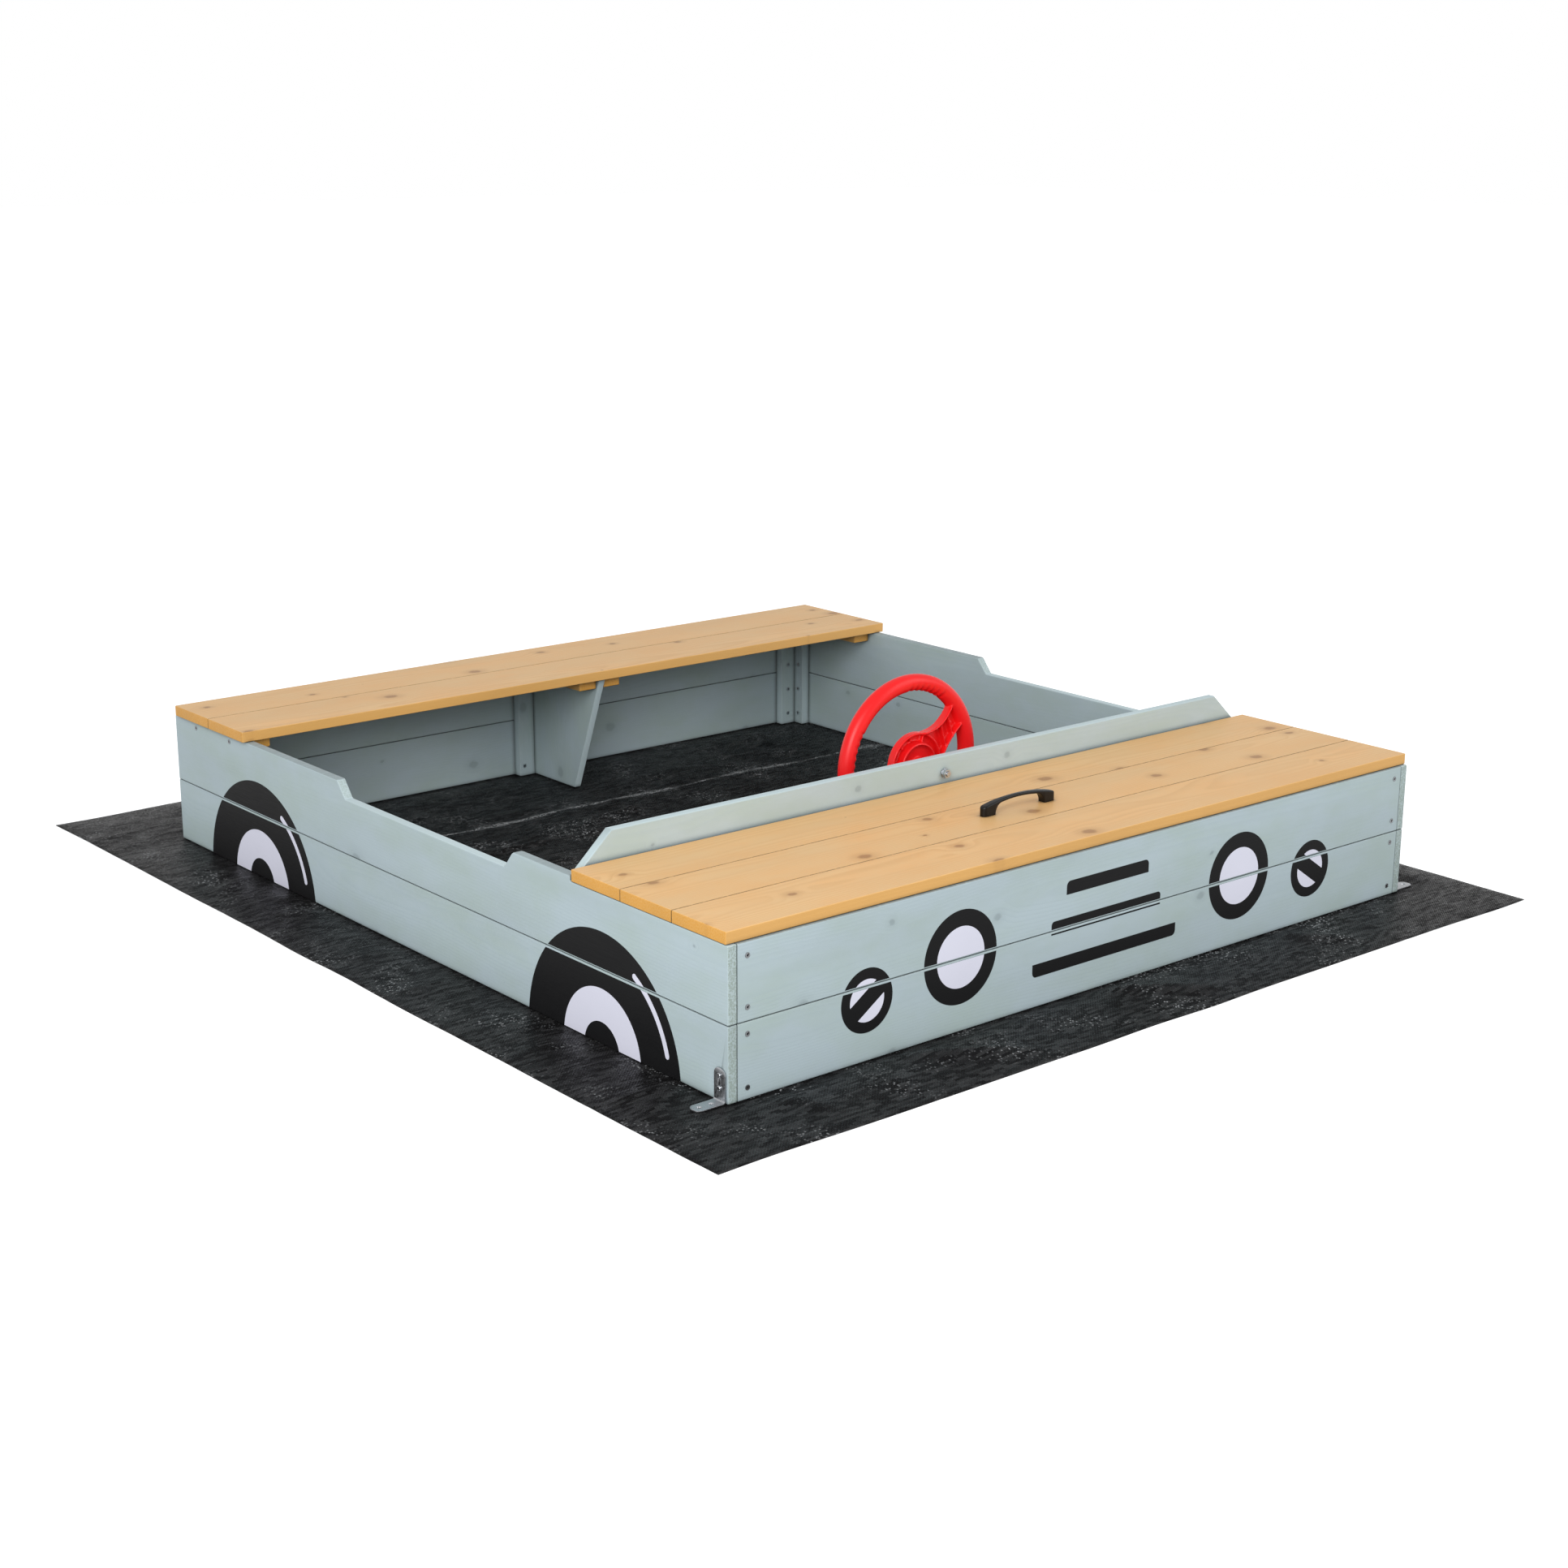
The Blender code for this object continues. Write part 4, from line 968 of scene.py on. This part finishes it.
WALL_SCREW_X = 0.716
WALL_SCREWS_Z = (0.019, 0.098, 0.137, 0.212)
CLEAT_SCREWS_Y = (FRONT_Y + 1.429, FRONT_Y + 1.557)
CLEAT_SCREW_Z = 0.229
BATTEN_SCREWS_Z = (0.025, 0.080, 0.135, 0.195)
CENTRE_SCREWS_Z = (0.022, 0.195)


def screw_places():
    """Every board screw as (place, outward direction)."""
    places = []
    for sign in (-1, 1):
        for z in WALL_SCREWS_Z:
            places.append(((sign * WALL_SCREW_X, FRONT_Y, z), (0, -1, 0)))
            places.append(((sign * WALL_SCREW_X, REAR_Y, z), (0, 1, 0)))
        for y in CLEAT_SCREWS_Y:
            places.append(((sign * SIDE_X, y, CLEAT_SCREW_Z), (sign, 0, 0)))
    for side, sign in (("left", -1), ("right", 1)):
        low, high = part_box("rear_side_batten_" + side)
        inner = high.x if sign < 0 else low.x
        across = low.y + 0.30 * (high.y - low.y)
        for z in BATTEN_SCREWS_Z:
            places.append(((inner, across, z), (-sign, 0, 0)))
        low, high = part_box("rear_wall_batten_" + side)
        for z in BATTEN_SCREWS_Z:
            places.append((((low.x + high.x) / 2, low.y, z), (0, -1, 0)))
    low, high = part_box("rear_centre_batten")
    for z in CENTRE_SCREWS_Z:
        places.append(((low.x + 0.3 * (high.x - low.x), low.y, z), (0, -1, 0)))
    return places


class SANDPIT_OT_board_screws(bpy.types.Operator):
    """Countersunk screws in the walls and battens"""

    bl_idname = "sandpit.board_screws"
    bl_label = "Board screws"

    def execute(self, context):
        settings = context.scene.sandpit.fittings
        places = screw_places()
        mesh = bpy.data.meshes.new("board_screw_places")
        mesh.from_pydata([p for p, _ in places], [], [])
        outward = mesh.attributes.new("outward", "FLOAT_VECTOR", "POINT")
        outward.data.foreach_set("vector", [c for _, way in places for c in way])
        carrier = new_piece("board_screw_places", mesh)
        nodes = carrier.modifiers.new("heads", "NODES")
        nodes.node_group = screw_head_tree(zinc_finish())
        given = {"Head radius": settings.screw_r, "Rise": settings.screw_rise}
        given["Recess width"] = settings.recess_w
        for item in nodes.node_group.interface.items_tree:
            if item.in_out == "INPUT" and item.name in given:
                nodes[item.identifier] = given[item.name]
        piece = new_piece("board_screws", settled(carrier))
        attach(piece, "box")
        return {"FINISHED"}


def zinc_finish():
    """The zinc plating, made once."""
    return bpy.data.materials.get("zinc_plated_steel") or zinc_plated_steel()


class SANDPIT_OT_metalwork(bpy.types.Operator):
    """Zinc finish on the bracket and handle screws, the wheel bolt, the washers and the dash nut, and the
    wheel's grey bush
    """

    bl_idname = "sandpit.metalwork"
    bl_label = "Metalwork"

    def execute(self, context):
        named = ("bracket_screw", "handle_screw", "wheel_bolt", "wheel_washer", "dash_washer", "dash_nut")
        for name, piece in frame["nodes"].items():
            if name.startswith(named):
                coat(piece.data, zinc_finish())
        tone = context.scene.sandpit.fittings.bush
        coat(frame["nodes"]["wheel_bush"].data, moulded_plastic("grey_acetal", tone, 0.40, 0.10))
        return {"FINISHED"}


# Brackets

BRACKET_THICK = 0.002
BRACKET_BEND = 0.004
BRACKET_ROUND = 0.0110
BRACKET_HOLE_R = 0.00225
BRACKET_SINK_R = 0.0042
BRACKET_LEG_HOLES = (0.0210, 0.0400)
BRACKET_FOOT_HOLES = (0.0170, 0.0375)


class SANDPIT_OT_brackets(bpy.types.Operator):
    """Bent zinc-plated angle brackets with rounded ends"""

    bl_idname = "sandpit.brackets"
    bl_label = "Brackets"

    def execute(self, context):
        for side, sign in (("left", -1), ("right", 1)):
            self.make_bracket("angle_bracket_front_" + side, sign)
        return {"FINISHED"}

    def make_bracket(self, node, sign):
        """One bracket: a strip swept down the wall, round the bend and out along the ground."""
        low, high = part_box(node)
        face, reach = (low.x, high.x) if sign > 0 else (-high.x, -low.x)
        middle, half = (low.y + high.y) / 2, (high.y - low.y) / 2
        thick, bend = BRACKET_THICK, BRACKET_BEND
        leg = high.z - low.z - thick / 2 - bend
        arc = math.pi / 2 * bend
        foot = reach - face - thick / 2 - bend
        total = leg + arc + foot
        ends = [BRACKET_ROUND * (1 - math.cos(a)) for a in np.linspace(0.05, math.pi / 2, 12)]
        stations = ends + list(np.linspace(leg, leg + arc, 10)) + [total - e for e in reversed(ends)]
        rings = []
        for u in stations:
            a = min(max(u - leg, 0.0), arc) / bend
            x = face + thick / 2 + bend * (1 - math.cos(a)) + max(0.0, u - leg - arc)
            z = low.z + thick / 2 + bend * (1 - math.sin(a)) + max(0.0, leg - u)
            out = (math.cos(a), math.sin(a))
            gone = min(1.0, min(u, total - u) / BRACKET_ROUND)
            wide = half - BRACKET_ROUND + BRACKET_ROUND * math.sqrt(max(0.0, 1 - (1 - gone) ** 2))
            ring = []
            for aside, rise in ((-1, -1), (1, -1), (1, 1), (-1, 1)):
                across, up = (rise * way * thick / 2 for way in out)
                ring.append((sign * (x + across), middle + aside * wide, z + up))
            rings.append(ring)
        shape = bmesh.new()
        loft(shape, rings)
        strip = solid(node + "_plate", shape)
        cutter_shape = bmesh.new()
        sideways = Matrix.Rotation(math.pi / 2, 4, "Y")
        for z in BRACKET_LEG_HOLES:
            place = Matrix.Translation((sign * face, middle, low.z + z)) @ sideways
            self.add_hole(cutter_shape, place, BRACKET_HOLE_R)
        for x in BRACKET_FOOT_HOLES:
            place = Matrix.Translation((sign * (face + x), middle, low.z + thick))
            self.add_hole(cutter_shape, place, BRACKET_SINK_R)
        cutter = solid("holes", cutter_shape)
        cut_out = strip.modifiers.new("holes", "BOOLEAN")
        cut_out.object = cutter
        soften = strip.modifiers.new("edges", "BEVEL")
        soften.width = 0.0004
        soften.segments = 2
        soften.angle_limit = math.radians(50)
        made = settled(strip)
        bpy.data.objects.remove(cutter)
        coat(made, zinc_finish())
        smooth(made)
        bracket = new_piece(node + "_plate", made)
        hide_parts(node)
        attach(bracket, "box")

    def add_hole(self, shape, place, top_r):
        """A drill that widens to top_r at its place's origin."""
        around = [FULL_TURN * i / 24 for i in range(24)]
        rings = []
        for z, r in ((-0.004, BRACKET_HOLE_R), (-0.0016, BRACKET_HOLE_R), (0.0, top_r), (0.004, top_r)):
            rings.append([place @ Vector((r * math.cos(a), r * math.sin(a), z)) for a in around])
        loft(shape, rings)


# Wheel and handle


def moulded_plastic(name, tone, roughness, relief, sheen=0.5):
    """Injection-moulded plastic: even colour, a soft gloss and the fine texture of a spark-eroded mould."""
    material, tree, shader = new_finish(name, {"IOR": 1.49, "Specular IOR Level": sheen})
    place = add(tree, "TexCoord", out="Object")
    texture = add(tree, "TexNoise", {"Vector": place, "Scale": 1400.0, "Detail": 2.0}, out="Fac")
    flow = add(tree, "TexNoise", {"Vector": place, "Scale": 22.0, "Detail": 3.0}, out="Fac")
    gloss = (roughness - 0.05, roughness + 0.05)
    plain_tone(tree, shader, tone, flow, (0.16, 0.92), flow, gloss, texture, relief)
    return material


def revolved(shape, profile, steps):
    """Adds a closed profile of (radius, y) turned about the Y axis."""
    rings = []
    for i in range(steps):
        a = FULL_TURN * i / steps
        rings.append([shape.verts.new((r * math.cos(a), y, r * math.sin(a))) for r, y in profile])
    skin(shape, rings + rings[:1])


def peg_outline(x, z, r):
    """The outline of a small round peg."""
    return [(x + r * math.cos(a), z + r * math.sin(a)) for a in np.linspace(0, FULL_TURN, 13)[:-1]]


def slab(shape, outline, back, face):
    """Adds a plate with an outline of (x, z) between two depths along Y."""
    near = [shape.verts.new((x, back, z)) for x, z in outline]
    far = [shape.verts.new((x, face, z)) for x, z in outline]
    shape.faces.new(near)
    shape.faces.new(far[::-1])
    for i in range(len(outline)):
        n = (i + 1) % len(outline)
        shape.faces.new((near[i], far[i], far[n], near[n]))
    return near + far


def blended(shape, name, voxel, rounds, place):
    """Merges overlapping solids into one moulding with soft inner corners, set in its place."""
    carrier = solid(name, shape)
    merge = carrier.modifiers.new("merge", "REMESH")
    merge.mode = "VOXEL"
    merge.voxel_size = voxel
    soften = carrier.modifiers.new("soften", "SMOOTH")
    soften.factor = 0.5
    soften.iterations = rounds
    made = settled(carrier)
    made.transform(place)
    made.shade_smooth()
    return new_piece(name, made)


# The wheel, about its own centre; its axis runs along Y and its hollow side faces the dashboard
WHEEL_TURN = math.radians(30)
SPOKE_ANGLES = (0.0, 180.0, 270.0)
HUB_DISH = 0.014
HUB_RIB_ANGLES = (40.0, 140.0, 220.0, 320.0)
HUB_PEG_ANGLES = (75.0, 105.0, 240.0, 300.0)
HUB_PEG_RUN = 0.0445
MOULD_VOXEL = 0.0014
GRIPS = ((44.0, 20.0), (135.0, 17.0))
GRIP_PITCH = 5.6
HUB_PROFILE = (
    (0.016, -0.014),
    (0.016, -0.004),
    (0.034, -0.004),
    (0.0530, -0.0085),
    (0.0545, -0.0105),
    (0.0545, -0.025),
    (0.0508, -0.025),
    (0.0503, -0.014),
    (0.0385, -0.014),
    (0.0380, -0.0305),
    (0.0345, -0.031),
    (0.0335, -0.024),
    (0.013, -0.024),
    (0.012, -0.040),
    (0.0044, -0.040),
    (0.0044, -0.014),
)
CAP_PROFILE = (
    (0.0, -0.0037),
    (0.029, -0.0037),
    (0.030, -0.0025),
    (0.0295, -0.0005),
    (0.027, 0.0012),
    (0.021, 0.0021),
    (0.0, 0.0023),
)


def spoke_flank(share, side):
    """Distance of a spoke's flank from its middle line: it sweeps out into the hub and into the rim."""
    hub_end, waist, rim_end = (0.038, 0.0165, 0.030) if side > 0 else (0.034, 0.0150, 0.016)
    toward_hub = (hub_end - waist) * (1 - share) ** 2.4
    toward_rim = (rim_end - waist) * share**2.6
    return side * (waist + toward_hub + toward_rim)


def add_spoke(shape, angle, rim_inner):
    """Adds one spoke, sloping from hub to rim: a floor, two flank walls, cross ribs and a small peg."""
    start, end, wall = 0.040, rim_inner + 0.004, 0.0034
    shares = np.linspace(0, 1, 17)
    line = [start + (end - start) * s for s in shares]
    upper = [(r, spoke_flank(s, 1)) for r, s in zip(line, shares)]
    lower = [(r, spoke_flank(s, -1)) for r, s in zip(line, shares)]
    solids = []
    for i in range(len(line) - 1):
        solids.append(([upper[i], upper[i + 1], lower[i + 1], lower[i]], 0.0025, 0.0065))
        for flank, side in ((upper, -1), (lower, 1)):
            a, b = flank[i], flank[i + 1]
            strip = [a, b, (b[0], b[1] + side * wall), (a[0], a[1] + side * wall)]
            solids.append((strip, -0.0110, 0.0065))
    for share, lean in ((0.42, 0.006), (0.70, 0.004)):
        r = start + (end - start) * share
        top, bottom = spoke_flank(share, 1) - 0.001, spoke_flank(share, -1) + 0.001
        rib = [(r + lean, top), (r + lean + 0.0028, top), (r - lean + 0.0028, bottom), (r - lean, bottom)]
        solids.append((rib, -0.0085, 0.0065))
    solids.append((peg_outline(0.104, 0.007, 0.0026), -0.0090, 0.0065))
    turn = Matrix.Rotation(-math.radians(angle), 4, "Y")
    for outline, back, face in solids:
        for v in slab(shape, outline, back, face):
            v.co.y -= HUB_DISH * (end - v.co.x) / (end - HUB_PROFILE[5][0])
            v.co = turn @ v.co


class SANDPIT_OT_steering_wheel(bpy.types.Operator):
    """Red moulded steering wheel and its cap"""

    bl_idname = "sandpit.steering_wheel"
    bl_label = "Steering wheel"

    def execute(self, context):
        settings = context.scene.sandpit.fittings
        red = moulded_plastic("red_polypropylene", settings.red, 0.34, 0.06, 0.35)
        place = Matrix.Translation(WHEEL_PLACE) @ Matrix.Rotation(-WHEEL_TURN, 4, "Y")
        shape = bmesh.new()
        self.add_rim(shape, settings)
        revolved(shape, HUB_PROFILE, 96)
        for angle in SPOKE_ANGLES:
            add_spoke(shape, angle, WHEEL_R - 2 * settings.rim_r)
        for angle in HUB_RIB_ANGLES:
            self.add_hub_rib(shape, math.radians(angle))
        for angle in HUB_PEG_ANGLES:
            a = math.radians(angle)
            peg = peg_outline(HUB_PEG_RUN * math.cos(a), HUB_PEG_RUN * math.sin(a), 0.0025)
            slab(shape, peg, -0.0225, -0.012)
        wheel = blended(shape, "steering_wheel_moulding", MOULD_VOXEL, 3, place)
        cap_shape = bmesh.new()
        revolved(cap_shape, CAP_PROFILE, 96)
        bmesh.ops.remove_doubles(cap_shape, verts=cap_shape.verts, dist=MERGE)
        cap = solid("wheel_cap_moulding", cap_shape)
        cap.data.transform(place)
        smooth(cap.data)
        for piece, node in ((wheel, "steering_wheel"), (cap, "wheel_cap")):
            coat(piece.data, red)
            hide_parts(node)
            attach(piece, "wheel")
        return {"FINISHED"}

    def add_rim(self, shape, settings):
        """The rim, with two sets of finger grips pressed into its inner side."""
        around, about = 240, 28
        centre = WHEEL_R - settings.rim_r
        rings = []
        for i in range(around):
            angle = 360 * i / around
            press = 0.0
            for middle, half in GRIPS:
                off = angle - middle
                if abs(off) < half:
                    press = 0.5 - 0.5 * math.cos(FULL_TURN * off / GRIP_PITCH + math.pi)
            a = math.radians(angle)
            ring = []
            for k in range(about):
                b = FULL_TURN * k / about
                inward = max(0.0, math.cos(b - math.pi * 0.92)) ** 1.5
                r = settings.rim_r - settings.grip_depth * press * inward
                out = centre + r * math.cos(b)
                ring.append(shape.verts.new((out * math.cos(a), -r * math.sin(b), out * math.sin(a))))
            rings.append(ring)
        skin(shape, rings + rings[:1])

    def add_hub_rib(self, shape, angle):
        """A thin rib across the groove between the hub's two rings."""
        along = Vector((math.cos(angle), math.sin(angle)))
        aside = Vector((-along.y, along.x)) * 0.0014
        near, far = along * 0.036, along * 0.053
        corners = (near - aside, far - aside, far + aside, near + aside)
        slab(shape, [tuple(c) for c in corners], -0.0215, -0.012)


HANDLE_FOOT = 0.025
HANDLE_FILLET = 0.016
HANDLE_BAR = 0.0052
HANDLE_BOW_DROP = 0.0100


class SANDPIT_OT_lid_handle(bpy.types.Operator):
    """Black bow handle on the lid"""

    bl_idname = "sandpit.lid_handle"
    bl_label = "Lid handle"

    def execute(self, context):
        low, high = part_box("lid_handle")
        middle = (low + high) / 2
        reach, width, rise = (high.x - low.x) / 2, (high.y - low.y) / 2, high.z - low.z
        fillet, inner = HANDLE_FILLET, reach - HANDLE_FOOT
        stations = [reach - width * (1 - math.cos(a)) for a in np.linspace(0.12, math.pi / 2, 12)]
        stations += list(np.linspace(reach - width - 0.003, inner + 0.001, 4))
        stations += [inner, inner - 0.0001]
        stations += [inner - fillet * s**2 for s in np.linspace(0.12, 1.0, 14)]
        stations += list(np.linspace(inner - fillet - 0.003, 0.0, 14))
        half = [self.section(x, reach, width, rise) for x in stations]
        sections = half + [[(-x, y, z) for x, y, z in ring] for ring in half[-2::-1]]
        shape = bmesh.new()
        loft(shape, sections)
        handle = solid("lid_handle_moulding", shape)
        handle.data.transform(Matrix.Translation((middle.x, middle.y, low.z)))
        smooth(handle.data, math.radians(50))
        tone = context.scene.sandpit.fittings.black
        coat(handle.data, moulded_plastic("black_nylon", tone, 0.30, 0.08, 0.3))
        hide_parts("lid_handle")
        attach(handle, "lid")
        return {"FINISHED"}

    def section(self, x, reach, width, rise):
        """One rounded section across the handle at x."""
        inner = reach - HANDLE_FOOT
        bow = rise - HANDLE_BOW_DROP * (x / reach) ** 2
        half = width * (0.66 + 0.34 * min(1.0, (x / inner) ** 2))
        over = x - (reach - width)
        if over > 0:
            share = min(1.0, over / width)
            half = width * math.sqrt(max(0.02, 1 - share * share))
            bow -= 0.0015 * share**3
        bottom = 0.0
        if x < inner:
            gone = min(1.0, (inner - x) / HANDLE_FILLET)
            under = bow - HANDLE_BAR
            bottom = under * (1 - (1 - gone) ** 2.6) ** 0.62
        top_r = min(0.0025, half * 0.8)
        low_r = min(0.0018 if bottom > 0 else 0.0003, half * 0.5)
        ring = []
        for cy, cz, r, start in (
            (half - top_r, bow - top_r, top_r, 0.0),
            (top_r - half, bow - top_r, top_r, math.pi / 2),
            (low_r - half, bottom + low_r, low_r, math.pi),
            (half - low_r, bottom + low_r, low_r, 1.5 * math.pi),
        ):
            for k in range(6):
                a = start + math.pi / 2 * k / 5
                ring.append((x, cy + r * math.cos(a), cz + r * math.sin(a)))
        return ring


class SANDPIT_OT_stage(bpy.types.Operator):
    """Floor, lights and camera"""

    bl_idname = "sandpit.stage"
    bl_label = "Stage"

    def execute(self, context):
        settings = context.scene.sandpit.stage
        self.make_floor(settings)
        self.make_lights(context, settings)
        self.make_camera(context, settings)
        context.scene.view_settings.view_transform = "Standard"
        return {"FINISHED"}

    def make_floor(self, settings):
        """A wide pale floor just under the sheet."""
        shape = bmesh.new()
        bmesh.ops.create_grid(shape, x_segments=1, y_segments=1, size=30.0)
        bmesh.ops.translate(shape, verts=shape.verts, vec=(0, 0, -0.0003))
        sockets = {"Roughness": 0.9, "Emission Strength": settings.glow}
        sockets |= {"Emission Color": settings.floor, "Base Color": settings.floor}
        floor = new_piece("sandpit_floor", mesh_of("sandpit_floor", shape))
        coat(floor.data, new_finish("studio_floor", sockets)[0])
        floor.visible_diffuse = False
        floor.visible_glossy = False

    def make_lights(self, context, settings):
        """Even light all round, with one large soft light high over the front left corner."""
        world = bpy.data.worlds.new("studio")
        world.use_nodes = True
        tree = world.node_tree
        background = tree.nodes["Background"]
        background.inputs["Color"].default_value = (1, 1, 1, 1)
        way = add(tree, "TexCoord", out="Generated")
        rise = add(tree, "SeparateXYZ", [way], out="Z")
        deep, shallow, low, high = (math.sin(math.radians(a)) for a in (-8, -4, 6, 20))
        under = add(tree, "MapRange", [rise, deep, shallow, settings.bounce, settings.backdrop])
        over = add(tree, "MapRange", [rise, low, high, settings.backdrop, settings.sky])
        strength = add(tree, "Math", [under, over], operation="MULTIPLY")
        tree.links.new(strength, background.inputs["Strength"])
        context.scene.world = world
        for name, place, size, power in (
            ("key", (-3.45, -2.85, 2.45), 2.6, settings.key),
            ("fill", (2.6, -3.2, 2.6), 2.6, settings.fill),
        ):
            light = bpy.data.lights.new(name, "AREA")
            light.shape = "SQUARE"
            light.size = size
            light.energy = power
            lamp = bpy.data.objects.new(name, light)
            lamp.location = place
            lamp.rotation_mode = "QUATERNION"
            lamp.rotation_quaternion = (-Vector(place)).to_track_quat("-Z", "Y")
            context.scene.collection.objects.link(lamp)

    def make_camera(self, context, settings):
        """A camera at the front left, a little above the car."""
        turn, tilt, roll = (math.radians(a) for a in (39.82, 15.51, -0.22))
        level = math.cos(tilt)
        ahead = Vector((math.sin(turn) * level, math.cos(turn) * level, -math.sin(tilt)))
        data = bpy.data.cameras.new("front_left")
        data.lens = settings.lens
        data.sensor_width = 36.0
        data.clip_end = 100.0
        camera = bpy.data.objects.new("front_left", data)
        camera.location = (-2.667, FRONT_Y - 2.416, 1.315)
        camera.rotation_mode = "QUATERNION"
        camera.rotation_quaternion = Quaternion(ahead, roll) @ ahead.to_track_quat("-Z", "Y")
        context.scene.collection.objects.link(camera)
        context.scene.camera = camera


class SANDPIT_PT_panel(bpy.types.Panel):
    """The sandpit's pieces and settings"""

    bl_label = "Car Sandpit"
    bl_idname = "SANDPIT_PT_panel"
    bl_space_type = "VIEW_3D"
    bl_region_type = "UI"
    bl_category = "Sandpit"

    def draw(self, context):
        for operator in OPERATORS:
            self.layout.operator(operator.bl_idname)
        settings = context.scene.sandpit
        for group in (settings.timber, settings.sheet, settings.print, settings.fittings, settings.stage):
            box = self.layout.box()
            for name in group.__annotations__:
                box.prop(group, name)


OPERATORS = (
    SANDPIT_OT_stage,
    SANDPIT_OT_walls,
    SANDPIT_OT_honey_timber,
    SANDPIT_OT_ground_sheet,
    SANDPIT_OT_front_print,
    SANDPIT_OT_side_print,
    SANDPIT_OT_board_screws,
    SANDPIT_OT_metalwork,
    SANDPIT_OT_brackets,
    SANDPIT_OT_steering_wheel,
    SANDPIT_OT_lid_handle,
)
GROUPS = (SandpitTimber, SandpitSheet, SandpitPrint, SandpitFittings, SandpitStage, SandpitSettings)
CLASSES = GROUPS + OPERATORS + (SANDPIT_PT_panel,)


def register():
    """Registers the classes and the scene's settings."""
    for made in CLASSES:
        bpy.utils.register_class(made)
    bpy.types.Scene.sandpit = PointerProperty(type=SandpitSettings)


def unregister():
    """Takes the settings and the classes away again."""
    del bpy.types.Scene.sandpit
    for made in reversed(CLASSES):
        bpy.utils.unregister_class(made)


def main():
    """Builds every piece in order."""
    register()
    for operator in OPERATORS:
        group, name = operator.bl_idname.split(".")
        getattr(getattr(bpy.ops, group), name)()


if __name__ == "__main__":
    main()
